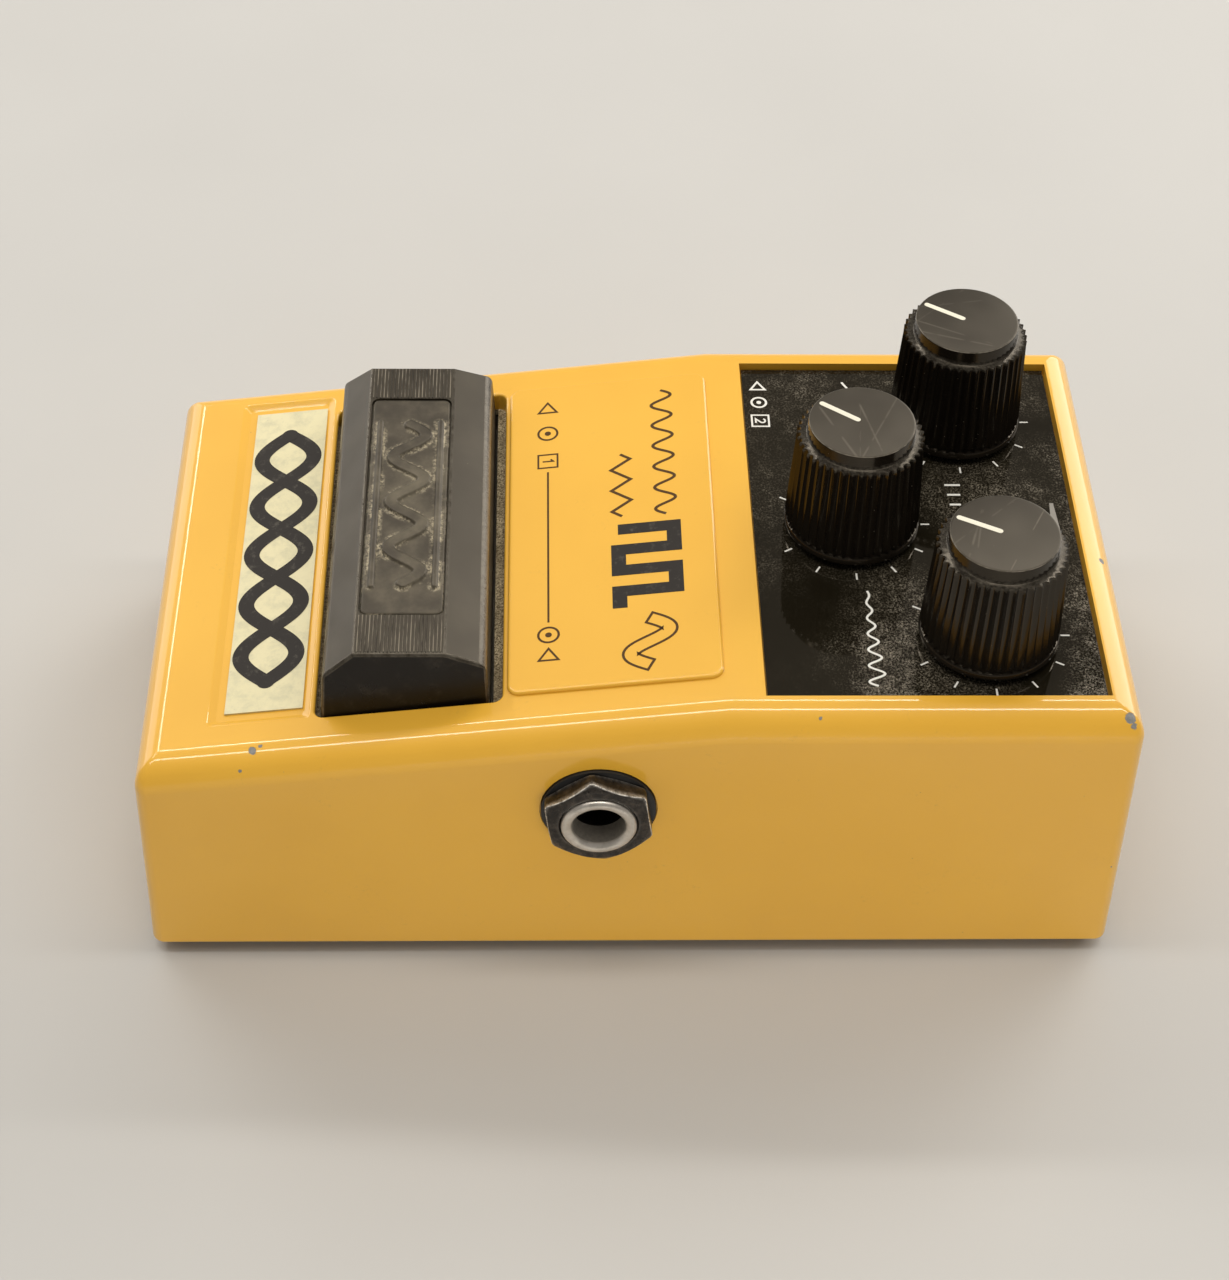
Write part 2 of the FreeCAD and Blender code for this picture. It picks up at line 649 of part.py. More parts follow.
def pot_nuts_and_washers():
    nuts = []
    washers = []
    for name, x, y in KNOBS:
        outer = place(hexagon(name + "_nut_hexagon", "10", "2"), x, y, PLATE_FACE + "+0.5")
        thread = rod(name + "_nut_thread", "3.5", "2", x, y, PLATE_FACE + "+0.5")
        nuts.append(cut(name + "_pot_nut", outer, thread))
        disc = rod(name + "_washer_disc", "5.9", "0.5", x, y, PLATE_FACE)
        hole = rod(name + "_washer_hole", "3.55", "0.5", x, y, PLATE_FACE)
        washers.append(cut(name + "_pot_washer", disc, hole))
    keep(group("pot_nuts", nuts), "pot_nuts")
    keep(group("pot_washers", washers), "pot_washers")


# ---------------------------------------------------------------- jacks

def on_side(thing, side, y):
    """Put a piece drawn along its own +Z onto a side wall, with z = 0 at the bush's outer end."""
    reach = "jack_reach" if side > 0 else "-jack_reach"
    return place(thing, reach, y, "jack_height", (0, 1, 0), "%d" % (90 * side))


def jack(name, side, y):
    inner = "(jack_reach-%s)" % INNER_HALF_WIDTH
    bush = new_body(name + "_bush")
    section = new_sketch(bush, name + "_bush_section", "XZ_Plane")
    outline(section, [("jack_bore_radius+0.35", "0"), ("jack_bush_radius-0.4", "0"),
                      ("jack_bush_radius", "-0.4"), ("jack_bush_radius", "-" + inner),
                      ("6.4", "-" + inner), ("6.4", "-%s-1.2" % inner),
                      ("jack_bush_radius", "-%s-1.2" % inner),
                      ("jack_bush_radius", "-%s-3.2" % inner), ("jack_bore_radius", "-%s-3.2" % inner),
                      ("jack_bore_radius", "-0.35")])
    turned(bush, name + "_bush_form", section)
    keep(on_side(bush, side, y), name + "_bush")

    washer_top = "-3.1"
    washer = cut(name + "_washer", rod(name + "_washer_disc", "7.2", "0.9", z=washer_top + "-0.9"),
                 rod(name + "_washer_hole", "jack_bush_radius+" + BUSH_FIT, "0.9", z=washer_top + "-0.9"))
    on_side(washer, side, y)

    nut_height = "2.5"
    prism = place(hexagon(name + "_nut_prism", "nut_flats", nut_height), z=washer_top, axis=(0, 0, 1),
                  angle="%d" % (8 if side > 0 else 17))
    cone = doc.addObject("Part::Cone", name + "_nut_chamfer")
    bind(cone, Radius1="nut_flats/2+0.1+%s/tan(30)" % nut_height, Radius2="nut_flats/2+0.1",
         Height=nut_height)
    place(cone, z=washer_top)
    rounded = doc.addObject("Part::Common", name + "_nut_rounded")
    rounded.Base = prism
    rounded.Tool = cone
    thread = rod(name + "_nut_thread", "jack_bush_radius", nut_height, z=washer_top)
    nut = cut(name + "_nut_form", rounded, thread)
    keep(on_side(nut, side, y), name + "_nut")

    body_front = "(%s+1.2)" % inner
    body_length = "24.3"
    body_end = "-%s-%s" % (body_front, body_length)
    shell = block(name + "_shell", "15", "15", body_length, z=body_end)
    chamber = block(name + "_chamber", "11", "11", "%s-1.5" % body_length, z=body_end)
    mouth = rod(name + "_mouth", "jack_bush_radius+" + BUSH_FIT, "5", z="-%s-4" % body_front)
    end_wall = block(name + "_end_wall", "9", "11.2", "1", z=body_end)
    hollow_shell = cut(name + "_hollow_shell", shell, union(name + "_room", [chamber, mouth]))
    keep(on_side(union(name + "_body_form", [hollow_shell, end_wall]), side, y), name + "_body")

    # tip leaf on one wall of the chamber, bent in towards the plug, and ground strip on the other
    leaf = block(name + "_leaf", "0.4", "4", "19.5", x="5.3", z=body_end)
    bend = block(name + "_bend", "1.7", "4", "0.5", x="4.4", z=body_end + "+4")
    ground = block(name + "_ground", "0.4", "4", "21", x="-5.3", z=body_end)
    tails = [block("%s_tail_%s" % (name, sign), "2.9", "2", "0.5", x=sign + "6.55", z=body_end + "-0.5")
             for sign in ("-", "+")]
    contacts = union(name + "_contact_pair", [leaf, bend, ground] + tails)
    keep(on_side(contacts, side, y), name + "_contacts")
    return washer


def dc_socket():
    """Supply socket held behind the rear wall, its collar flush in the wall."""
    inner_wall = INNER_HALF_LENGTH
    housing = block("socket_housing", "14", "12.5", "11.6", "0", inner_wall + "-6.25", SOCKET_HEIGHT + "-5.8")
    along_y = dict(axis=(1, 0, 0), angle="-90")
    collar = rod("socket_collar", "5.5", "3.4", "0", inner_wall + "-1", SOCKET_HEIGHT, **along_y)
    cavity = rod("socket_cavity", "2.85", "12", "0", inner_wall + "-7.3", SOCKET_HEIGHT, **along_y)
    keep(cut("dc_socket", union("socket_solid", [housing, collar]), cavity), "dc_socket")
    pin = rod("dc_socket_pin", "1.05", "8.2", "0", inner_wall + "-7.3", SOCKET_HEIGHT, **along_y)
    keep(pin, "dc_socket_pin")


# ---------------------------------------------------------------- boards

def main_board():
    body = new_body("main_board")
    face = new_sketch(body, "main_board_outline", lift="main_board_level")
    rectangle(face, "62", "60", "0", "5")
    feature(body, "Pad", "main_board_sheet", face, "board_thick")
    keep(body, "main_board")
    posts = [rod("standoff_%d" % index, "2.5", "main_board_level-" + BASE_TOP, x, y, BASE_TOP)
             for index, (x, y) in enumerate([(x, y) for x in ("-27.5", "27.5") for y in ("-21.5", "31.5")])]
    keep(group("board_standoffs", posts), "board_standoffs")


def control_board():
    body = new_body("control_board")
    face = new_sketch(body, "control_board_outline", lift="control_board_level")
    outline(face, [("-27", "27.2"), ("-7.5", "27.2"), ("-7.5", "19"), ("7.5", "19"), ("7.5", "27.2"),
                   ("27", "27.2"), ("27", "56.5"), ("-27", "56.5")])
    feature(body, "Pad", "control_board_sheet", face, "board_thick")
    keep(body, "control_board")


def chip(name, legs, x, y):
    """A dual in-line chip standing on the main board."""
    pitch = 2.54
    long = pitch * legs / 2
    parts = [block(name + "_case", "6.4", str(long), "3.2", x, y, MAIN_BOARD_TOP + "+0.8")]
    for index in range(legs // 2):
        shift = pitch * (index - (legs / 2 - 1) / 2)
        for sign in (-1, 1):
            parts.append(block("%s_leg_%d_%s" % (name, index, "l" if sign < 0 else "r"), "0.6", "0.6", "2.4",
                               "%s+(%g)" % (x, 3.4 * sign), "%s+(%g)" % (y, shift), MAIN_BOARD_TOP))
    return union(name, parts)


def board_parts():
    """What stands on the main board, kept clear of the leads that come down to it."""
    keep(chip("delay_chip", 14, "0", "24"), "delay_chip")
    keep(chip("clock_chip", 8, "14", "25"), "clock_chip")
    keep(group("amplifier_chips", [chip("amplifier_chip_0", 8, "-14", "9"),
                                   chip("amplifier_chip_1", 8, "14", "9")]), "amplifier_chips")
    cans = [("-24", "24", "3.1", "9"), ("-24", "8", "2.5", "8"), ("24", "18", "2.5", "8"),
            ("-6", "-16", "3.1", "9"), ("6", "-16", "3.1", "9"), ("0", "6", "2.5", "8")]
    keep(group("electrolytic_capacitors",
               [rod("can_%d" % index, radius, height, x, y, MAIN_BOARD_TOP)
                for index, (x, y, radius, height) in enumerate(cans)]), "electrolytic_capacitors")
    films = [("-14", "-17"), ("14", "-17"), ("-9", "16"), ("8", "16"), ("-24", "-14"), ("18", "-12")]
    keep(group("film_capacitors",
               [block("film_%d" % index, "7.2", "2.6", "6.5", x, y, MAIN_BOARD_TOP + "+0.4")
                for index, (x, y) in enumerate(films)]), "film_capacitors")
    trims = []
    for index, x in enumerate(("-15", "-23", "23")):
        base = block("trim_base_%d" % index, "6.4", "6.4", "3.2", x, "31" if index else "30", MAIN_BOARD_TOP)
        slot = block("trim_slot_%d" % index, "3.6", "0.7", "0.8", x, "31" if index else "30",
                     MAIN_BOARD_TOP + "+2.4")
        trims.append(cut("trimmer_%d" % index, base, slot))
    keep(group("trimmers", trims), "trimmers")
    resistors = []
    for index in range(10):
        x = "%g" % (-22.5 + 11.25 * (index % 5))
        y = "%g" % (-6.5 if index < 5 else 0.5)
        resistors.append(rod("resistor_%d" % index, "1.1", "6.2", x + "-3.1", y, MAIN_BOARD_TOP + "+1.2",
                             axis=(0, 1, 0), angle="90"))
    keep(group("resistors", resistors), "resistors")


# ---------------------------------------------------------------- leads

def lead(name, route, radius=0.6):
    """A wire along straight runs joined by tangent arcs, each as large as its two runs allow."""
    points = [Vector(*point) for point in route]
    edges = []
    start = points[0]
    for before, corner, after in zip(points, points[1:], points[2:]):
        towards = (before - corner).normalize()
        away = (after - corner).normalize()
        run = min((corner - before).Length, (after - corner).Length)
        reach = 0.45 * run
        half_turn = (math.pi - towards.getAngle(away)) / 2
        bend = reach / math.tan(half_turn)
        middle = (towards + away).normalize()
        centre = corner + middle * (bend / math.cos(half_turn))
        edges.append(Part.LineSegment(start, corner + towards * reach).toShape())
        edges.append(Part.Arc(corner + towards * reach, centre - middle * bend,
                              corner + away * reach).toShape())
        start = corner + away * reach
    edges.append(Part.LineSegment(start, points[-1]).toShape())
    path = Part.Wire(edges)
    section = Part.Wire(Part.makeCircle(radius, points[0], points[1] - points[0]))
    tube = path.makePipeShell([section], True, False)
    expected = math.pi * radius ** 2 * path.Length
    if abs(tube.Volume - expected) > 0.02 * expected:
        raise RuntimeError("lead %s has the wrong volume" % name)
    wire = doc.addObject("Part::Feature", name)
    wire.Shape = tube
    return wire


def leads():
    board = value(MAIN_BOARD_TOP)
    snap_y = -31.05
    keep(group("battery_leads", [lead("battery_lead_%d" % index,
                                      [(x, snap_y, 16), (x, -18, 16), (x, -18, board)])
                                 for index, x in enumerate((23.4, 25.2))]), "battery_leads")
    switch_z = value(BRACKET_TOP) + 2.4
    keep(group("switch_leads", [lead("switch_lead_%d" % index,
                                     [(x, -20.5, switch_z), (x, -3, switch_z), (x, -3, board)])
                                for index, x in enumerate((-4.7, 4.7))]), "switch_leads")
    socket_y = value(INNER_HALF_LENGTH) - 12.5
    keep(group("supply_leads", [lead("supply_lead_%d" % index,
                                     [(x, socket_y, 16), (x, 33, 16), (x, 33, board)])
                                for index, x in enumerate((-6.5, -4.8))]), "supply_leads")
    drops = []
    for name, side, y in JACKS:
        tail_x = "%s-25.75" % INNER_HALF_WIDTH
        drops.append(rod(name + "_lead", "0.6", "jack_height-8-" + MAIN_BOARD_TOP,
                         tail_x if side > 0 else "-(%s)" % tail_x, y, MAIN_BOARD_TOP))
    keep(group("jack_leads", drops), "jack_leads")
    keep(block("board_ribbon", "13", "0.9", "control_board_level-" + MAIN_BOARD_TOP, "8.5", "34.2",
               MAIN_BOARD_TOP), "board_ribbon")


# ---------------------------------------------------------------- battery and base

def battery():
    end_x = "(%(x)s+%(width)s/2)" % BATTERY
    middle_z = "(%(z)s+%(height)s/2)" % BATTERY
    case = block("battery_case", BATTERY["width"], BATTERY["length"], BATTERY["height"], BATTERY["x"],
                 BATTERY["y"], BATTERY["z"])
    studs = [rod("battery_stud_%s" % sign, radius, "2.4", end_x, BATTERY["y"] + sign + "6.35", middle_z,
                 axis=(0, 1, 0), angle="90") for sign, radius in (("-", "2.8"), ("+", "3.9"))]
    keep(union("battery", [case] + studs), "battery")
    strip = block("snap_strip", "4.4", "24", "11", end_x + "+2.3", BATTERY["y"], middle_z + "-5.5")
    holes = [rod("snap_hole_%s" % sign, "%s+0.05" % radius, "2.7", end_x, BATTERY["y"] + sign + "6.35",
                 middle_z, axis=(0, 1, 0), angle="90") for sign, radius in (("-", "2.8"), ("+", "3.9"))]
    keep(cut("battery_snap", strip, union("snap_holes", holes)), "battery_snap")


def base_plate():
    body = new_body("base_plate")
    face = new_sketch(body, "base_outline", lift="case_base")
    rectangle(face, "2*%s-0.4" % INNER_HALF_WIDTH, "2*%s-0.4" % INNER_HALF_LENGTH)
    rear = "(%s+1.6)" % DOOR_HINGE_Y
    front = "(%s-0.4)" % DOOR_FRONT
    edge = "(%s/2+0.4)" % DOOR_WIDTH
    rectangle(face, "2*" + edge, "%s-%s" % (rear, front), "0", "(%s+%s)/2" % (rear, front))
    for x, y in BASE_SCREWS:
        circle(face, "1.7", x, y)
    feature(body, "Pad", "base_sheet", face, "base_thick")
    for sign in ("-", ""):
        name = "left" if sign else "right"
        tongue = new_sketch(body, "tongue_outline_" + name, lift="case_base")
        rectangle(tongue, "2.5", "%s+0.2-(%s)" % (rear, DOOR_HINGE_Y), sign + "25.75",
                  "(%s+0.2+(%s))/2" % (rear, DOOR_HINGE_Y))
        feature(body, "Pad", "hinge_tongue_" + name, tongue, "base_thick")
        knuckle = new_sketch(body, "knuckle_outline_" + name, "YZ_Plane", lift=sign + "25.75")
        circle(knuckle, "1.1", DOOR_HINGE_Y, DOOR_HINGE_Z)
        feature(body, "Pad", "hinge_knuckle_" + name, knuckle, "2.5", both=True)
    pin = new_sketch(body, "hinge_pin_hole_outline", "YZ_Plane")
    circle(pin, "0.5", DOOR_HINGE_Y, DOOR_HINGE_Z)
    feature(body, "Pocket", "hinge_pin_hole", pin, "54.4", both=True)
    keep(body, "base_plate")


def battery_door():
    body = new_body("battery_door")
    face = new_sketch(body, "door_outline", lift="case_base-0.6")
    rectangle(face, DOOR_WIDTH, "(%s)-(%s)" % (DOOR_HINGE_Y, DOOR_FRONT), "0",
              "((%s)+(%s))/2" % (DOOR_HINGE_Y, DOOR_FRONT))
    feature(body, "Pad", "door_sheet", face, "1.6")
    for sign in ("-", ""):
        name = "left" if sign else "right"
        notch = new_sketch(body, "door_notch_outline_" + name, lift="case_base-1")
        rectangle(notch, "3.6", "4", sign + "25.9", DOOR_HINGE_Y)
        feature(body, "Pocket", "door_notch_" + name, notch, "5", reverse=True)
    barrel = new_sketch(body, "door_barrel_outline", "YZ_Plane")
    circle(barrel, "1.1", DOOR_HINGE_Y, DOOR_HINGE_Z)
    feature(body, "Pad", "door_barrel", barrel, "48", both=True)
    pin = new_sketch(body, "door_pin_hole_outline", "YZ_Plane")
    circle(pin, "0.55", DOOR_HINGE_Y, DOOR_HINGE_Z)
    feature(body, "Pocket", "door_pin_hole", pin, "60", both=True)
    latch = new_sketch(body, "door_latch_outline", lift="case_base+1")
    rectangle(latch, "12", "0.8", "0", "%s+0.4" % DOOR_FRONT)
    feature(body, "Pad", "door_latch", latch, "2.8")
    keep(body, "battery_door")
    keep(rod("door_hinge_pin", "0.5", "54", "-27", DOOR_HINGE_Y, DOOR_HINGE_Z, axis=(0, 1, 0), angle="90"),
         "door_hinge_pin")
    keep(block("battery_foam", "40", "18", "1.3", "0", BATTERY["y"], "case_base+1"), "battery_foam")


def rubber_sheet():
    body = new_body("rubber_sheet")
    face = new_sketch(body, "rubber_outline")
    rectangle(face, "case_width-4", "case_length-4")
    rear = "(%s+2.4)" % DOOR_HINGE_Y
    front = "(%s-1.4)" % DOOR_FRONT
    rectangle(face, DOOR_WIDTH + "+1", "%s-%s" % (rear, front), "0", "(%s+%s)/2" % (rear, front))
    for x, y in BASE_SCREWS:
        circle(face, "3.2", x, y)
    feature(body, "Pad", "rubber", face, "case_base")
    keep(body, "rubber_sheet")


# ---------------------------------------------------------------- build, check and export

def build():
    enclosure()
    control_plate()
    front_label()
    footswitch_button()
    button_badge()
    button_seal()
    return_springs()
    switch_bracket()
    screws("bracket_screws", BRACKET_SCREWS, "2.7", "1.7", "(bracket_level-1.7)", "(%s+6)" % BRACKET_TOP)
    momentary_switch()
    for name, x, y in KNOBS:
        knob(name, x, y)
        potentiometer(name, x, y)
    pot_nuts_and_washers()
    keep(group("jack_washers", [jack(name, side, y) for name, side, y in JACKS]), "jack_washers")
    dc_socket()
    main_board()
    control_board()
    board_parts()
    leads()
    battery()
    base_plate()
    battery_door()
    screws("base_screws", BASE_SCREWS, "2.8", "1.2", "(case_base-1.2)", "(%s+8)" % BASE_TOP)
    rubber_sheet()


def export():
    doc.recompute()
    for thing in doc.Objects:
        if "Invalid" in thing.State or "Error" in thing.State:
            raise RuntimeError("%s failed: %s" % (thing.Name, thing.State))
    for piece in pieces:
        shape = piece.Shape
        if shape.isNull() or not shape.isValid() or not shape.Solids:
            raise RuntimeError("%s has no valid solid" % piece.Label)
    os.makedirs("parts", exist_ok=True)
    for piece in pieces:
        piece.Shape.exportStep("parts/%s.step" % piece.Label)
    print("%d pieces written" % len(pieces))


build()
export()
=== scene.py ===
"""Looks of a compact guitar effects pedal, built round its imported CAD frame.

Sizes are written in millimetres and turned into metres where a mesh, light or camera is made.
+Z is up, -Y is the player's side with the footswitch button, +Y the rear with the knobs,
+X the right side with the input jack. Places come from the CAD nodes' boxes.
"""
import random
from math import copysign, cos, exp, hypot, pi, radians, sin, tan, tau

import bmesh
import bpy
from mathutils import Matrix, Vector


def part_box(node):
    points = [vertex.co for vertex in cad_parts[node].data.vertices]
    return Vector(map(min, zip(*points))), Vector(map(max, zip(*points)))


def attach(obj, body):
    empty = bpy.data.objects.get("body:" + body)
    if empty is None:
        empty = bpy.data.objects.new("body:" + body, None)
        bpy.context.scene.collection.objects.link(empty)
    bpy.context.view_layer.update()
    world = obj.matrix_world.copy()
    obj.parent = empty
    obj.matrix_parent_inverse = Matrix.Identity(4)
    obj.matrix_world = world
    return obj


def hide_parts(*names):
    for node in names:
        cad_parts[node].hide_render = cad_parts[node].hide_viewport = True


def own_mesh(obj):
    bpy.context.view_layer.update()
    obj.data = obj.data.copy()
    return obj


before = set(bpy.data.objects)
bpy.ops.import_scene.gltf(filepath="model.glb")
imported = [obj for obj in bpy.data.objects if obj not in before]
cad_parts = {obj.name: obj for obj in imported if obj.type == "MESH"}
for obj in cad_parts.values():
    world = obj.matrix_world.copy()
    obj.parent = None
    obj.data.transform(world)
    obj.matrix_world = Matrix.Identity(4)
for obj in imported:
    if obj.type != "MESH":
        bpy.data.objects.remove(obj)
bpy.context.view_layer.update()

MM = 0.001
WELD = 0.0005 * MM
INK_THICKNESS = 0.02

# The sloped front part of the top: the line where it meets the flat part, and its directions.
SLOPE = radians(7.33)
BREAK = Vector((0, 10.9, 44.3))
ALONG = Vector((0, cos(SLOPE), sin(SLOPE)))
OUTWARD = Vector((0, -sin(SLOPE), cos(SLOPE)))

KNOB_NAMES = ("rate", "time", "depth")
JACK_NAMES = ("input_jack", "output_a_jack", "output_b_jack")


def corners(node):
    """Lowest and highest corner of a CAD node, in millimetres."""
    low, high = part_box(node)
    return low / MM, high / MM


def middle(node):
    low, high = corners(node)
    return (low + high) / 2


PLATE_LOW, PLATE_HIGH = corners("control_plate")
KNOB_TOP = corners("time_knob")[1].z
BUTTON_TOP = corners("footswitch_button")[1].z

# Where the button's springs and its guide posts stand: their sides across and their place along Y.
SPRING_SIDES, SPRING_Y = (-20, 20), -26.5

# The white scales printed round the knobs: their radius, and the ends of a tick from it.
SCALE_RADIUS, TICK_ENDS = 9.4, (-0.2, 0.95)


def on_slope(x, along, height):
    """A point over the sloped top, along being measured from where it meets the flat part."""
    return Vector((x, 0, 0)) + BREAK + ALONG * along + OUTWARD * height


def on_plate(x, y, height):
    """A point over the control plate."""
    return Vector((x, y, PLATE_HIGH.z + height))


# ---------------- material tools

class Look:
    """A procedural material whose patterns are measured in millimetres of the object's own space."""

    def __init__(self, name, **shader):
        self.material = bpy.data.materials.new(name)
        self.material.use_nodes = True
        self.tree = self.material.node_tree
        self.shader = self.tree.nodes["Principled BSDF"]
        self.place = self.add("TexCoord").outputs["Object"]
        self.set(**shader)

    def add(self, kind, inputs=None, **settings):
        made = self.tree.nodes.new("ShaderNode" + kind)
        for name, setting in settings.items():
            setattr(made, name, setting)
        for name, given in (inputs or {}).items():
            self.feed(made.inputs[name], given)
        return made

    def feed(self, socket, given):
        if isinstance(given, bpy.types.NodeSocket):
            self.tree.links.new(given, socket)
        elif socket.type == "RGBA":
            socket.default_value = (*given, 1.0)
        else:
            socket.default_value = given

    def set(self, **shader):
        """Set sockets of the Principled shader: base_color, roughness, coat_weight and so on."""
        for name, given in shader.items():
            title = " ".join(word.upper() if word == "ior" else word.capitalize() for word in name.split("_"))
            self.feed(self.shader.inputs[title], given)

    def math(self, operation, first, second=0.0):
        made = self.add("Math", operation=operation)
        self.feed(made.inputs[0], first)
        self.feed(made.inputs[1], second)
        return made.outputs[0]

    def plus(self, first, second):
        return self.math("ADD", first, second)

    def less(self, first, second):
        return self.math("SUBTRACT", first, second)

    def times(self, first, second):
        return self.math("MULTIPLY", first, second)

    def most(self, first, *others):
        """The highest of several patterns."""
        for other in others:
            first = self.math("MAXIMUM", first, other)
        return first

    def inverse(self, share):
        """1 less a share."""
        return self.less(1.0, share)

    def stretched(self, stretch):
        return self.add("Mapping", {"Vector": self.place, "Scale": stretch}).outputs[0]

    def noise(self, size, detail=3.0, roughness=0.5, vector=None):
        """Noise from 0 to 1 whose blobs are about size millimetres across."""
        return self.add("TexNoise", {"Vector": vector or self.place, "Scale": 1 / (size * MM),
                                     "Detail": detail, "Roughness": roughness}).outputs["Fac"]

    def specks(self, size):
        """Distance from scattered points about size millimetres apart, in cell widths."""
        cells = self.add("TexVoronoi", {"Vector": self.place, "Scale": 1 / (size * MM)})
        return cells.outputs["Distance"]

    def band(self, pattern, low, high, start=0.0, end=1.0):
        """Smooth step of a pattern from low to high, giving start to end."""
        return self.add("MapRange", {"Value": pattern, "From Min": low, "From Max": high, "To Min": start,
                                     "To Max": end}, interpolation_type="SMOOTHSTEP").outputs[0]

    def mix(self, share, first, second):
        """Colour between two, at a share of the second."""
        made = self.add("Mix", data_type="RGBA")
        for index, given in ((0, share), (6, first), (7, second)):
            self.feed(made.inputs[index], given)
        return made.outputs[2]

    def axis(self, name):
        """One coordinate of the object's space, in metres."""
        return self.add("SeparateXYZ", {"Vector": self.place}).outputs[name]

    def vertex_value(self, name):
        """A number kept by the mesh's vertices."""
        return self.add("Attribute", attribute_name=name).outputs["Fac"]

    def near(self, spot, radius, ragged):
        """1 inside a ragged spot round a point, 0 outside; sizes in millimetres."""
        away = self.add("VectorMath", {0: self.place, 1: Vector(spot) * MM}, operation="DISTANCE")
        return self.band(self.plus(away.outputs["Value"], ragged), radius * MM * 1.1, radius * MM * 0.9)

    def relief(self, height, depth):
        """Relief of depth millimetres from a pattern, the last thing a material gets."""
        made = self.add("Bump", {"Height": height, "Distance": depth * MM, "Strength": 1.0})
        self.feed(self.shader.inputs["Normal"], made.outputs[0])
        return self.material


def darkened(colour, share):
    return tuple(channel * share for channel in colour)


def two_tone(name, blotches, tones, gloss, grain, **shader):
    """Material between two tones by blotches, each pattern being its noise and the band made of it.

    gloss is a pattern or a plain roughness; grain is the relief's noise and its depth.
    """
    look = Look(name, **shader)
    share, roughness = (look.band(look.noise(*given[0]), *given[1]) if isinstance(given, tuple) else given
                        for given in (blotches, gloss))
    look.set(base_color=look.mix(share, *tones), roughness=roughness)
    return look.relief(look.noise(*grain[0]), grain[1]) if grain else look.material


WARM_SHEEN = (1.0, 0.87, 0.68)


def hand_worn_plastic(name, colour, roughness, dusty=0.15):
    """Moulded plastic with a fine grain, slightly uneven gloss and a little dust."""
    return two_tone(name, ((6, 6, 0.7), (0.48, 0.78, 0.0, dusty)), (colour, (0.20, 0.18, 0.15)),
                    ((2.5, 4), (0.2, 0.8, roughness - 0.05, roughness + 0.08)), ((0.35, 3, 0.6), 0.004))


def plated_metal(name, colour, roughness, wear=0.3):
    """Plated metal with uneven tarnish and fine marks."""
    return two_tone(name, ((1.6, 6, 0.65), (0.35, 0.75)), (colour, darkened(colour, 1 - wear)),
                    ((0.9, 5), (0.25, 0.8, roughness - 0.07, roughness + 0.12)), ((0.25, 4, 0.6), 0.004),
                    metallic=1.0)


def ink(name, colour, worn):
    """Printed ink, slightly uneven, with the ground showing through where it is worn."""
    return two_tone(name, ((1.3, 6, 0.7), (0.52, 0.8, 0.0, worn)), (colour, (0.33, 0.30, 0.24)), 0.55, None,
                    specular_ior_level=0.2)


# Chips in the paint: place on the case and radius, in millimetres.
PAINT_CHIPS = [
    ((33.5, -47.5, 36.5), 0.50), ((33.0, -46.5, 37.0), 0.25), ((34.5, 60.0, 43.5), 0.70),
    ((35.5, 60.5, 43.0), 0.60), ((7.0, 60.5, 43.5), 0.50), ((34.5, 22.0, 43.5), 0.20),
    ((35.5, -49.0, 35.0), 0.20), ((35.5, -43.5, 35.0), 0.20), ((30.5, -62.5, 34.0), 0.30),
    ((36.5, 61.5, 17.0), 0.25), ((-35.0, 35.0, 43.5), 0.50), ((-34.5, -58.0, 33.5), 0.50),
    ((-36.0, -20.0, 3.5), 0.50), ((20.0, -62.5, 3.5), 0.40), ((-12.0, 62.5, 3.5), 0.45),
]


def yellow_enamel():
    """Glossy yellow paint on a die-cast case: faint mottling, grime and chips down to the grey metal."""
    look = Look("yellow_enamel", coat_weight=1.0, coat_roughness=0.07, roughness=0.45, specular_ior_level=0.3)
    tone = look.band(look.noise(25, 3), 0.3, 0.7)
    paint = look.mix(tone, (0.805, 0.435, 0.038), (0.845, 0.465, 0.043))
    freckles = look.band(look.specks(6.5), 0.020, 0.010, 0.0, 0.45)
    dirty = look.times(look.band(look.noise(8, 5, 0.7), 0.55, 0.8), look.band(look.noise(0.5, 4), 0.5, 0.8))
    grime = look.most(freckles, look.times(dirty, 0.30))
    paint = look.mix(grime, paint, (0.30, 0.17, 0.05))
    ragged = look.times(look.less(look.noise(0.7, 4, 0.7), 0.5), 0.7 * MM)
    chipped = look.most(*(look.near(spot, radius, ragged) for spot, radius in PAINT_CHIPS))
    bare = look.mix(look.noise(0.4, 4), (0.13, 0.13, 0.12), (0.34, 0.34, 0.33))
    painted = look.inverse(chipped)
    look.set(base_color=look.mix(chipped, paint, bare), coat_weight=painted)
    return look.relief(painted, 0.06)


def glossy_plate():
    """Glossy black plate under a film of fine dust, with cleaner patches wiped along its front and sides."""
    look = Look("glossy_plate", specular_ior_level=0.5, specular_tint=WARM_SHEEN)
    wiped_front = look.band(look.axis("Y"), (PLATE_LOW.y + 16) * MM, (PLATE_LOW.y + 3) * MM)
    wiped_side = look.band(look.axis("X"), 2 * MM, 16 * MM)
    wiped = look.most(look.times(wiped_front, wiped_side), look.times(wiped_front, 0.55))
    film = look.times(look.band(look.noise(14, 3, 0.5), 0.30, 0.66), look.inverse(look.times(wiped, 0.92)))
    powder = look.band(look.noise(0.28, 3, 0.8), 0.42, 0.68)
    blots = look.band(look.noise(1.7, 6, 0.75), 0.40, 0.66, 0.25, 1.0)
    motes = look.band(look.specks(0.9), 0.10, 0.04, 0.0, 0.75)
    dust = look.most(look.times(film, look.times(powder, blots)), look.times(motes, look.times(film, blots)))
    look.set(base_color=look.mix(dust, (0.009, 0.0072, 0.004), (0.205, 0.18, 0.135)),
             roughness=look.band(dust, 0.0, 0.7, 0.04, 0.50))
    return look.relief(dust, 0.004)


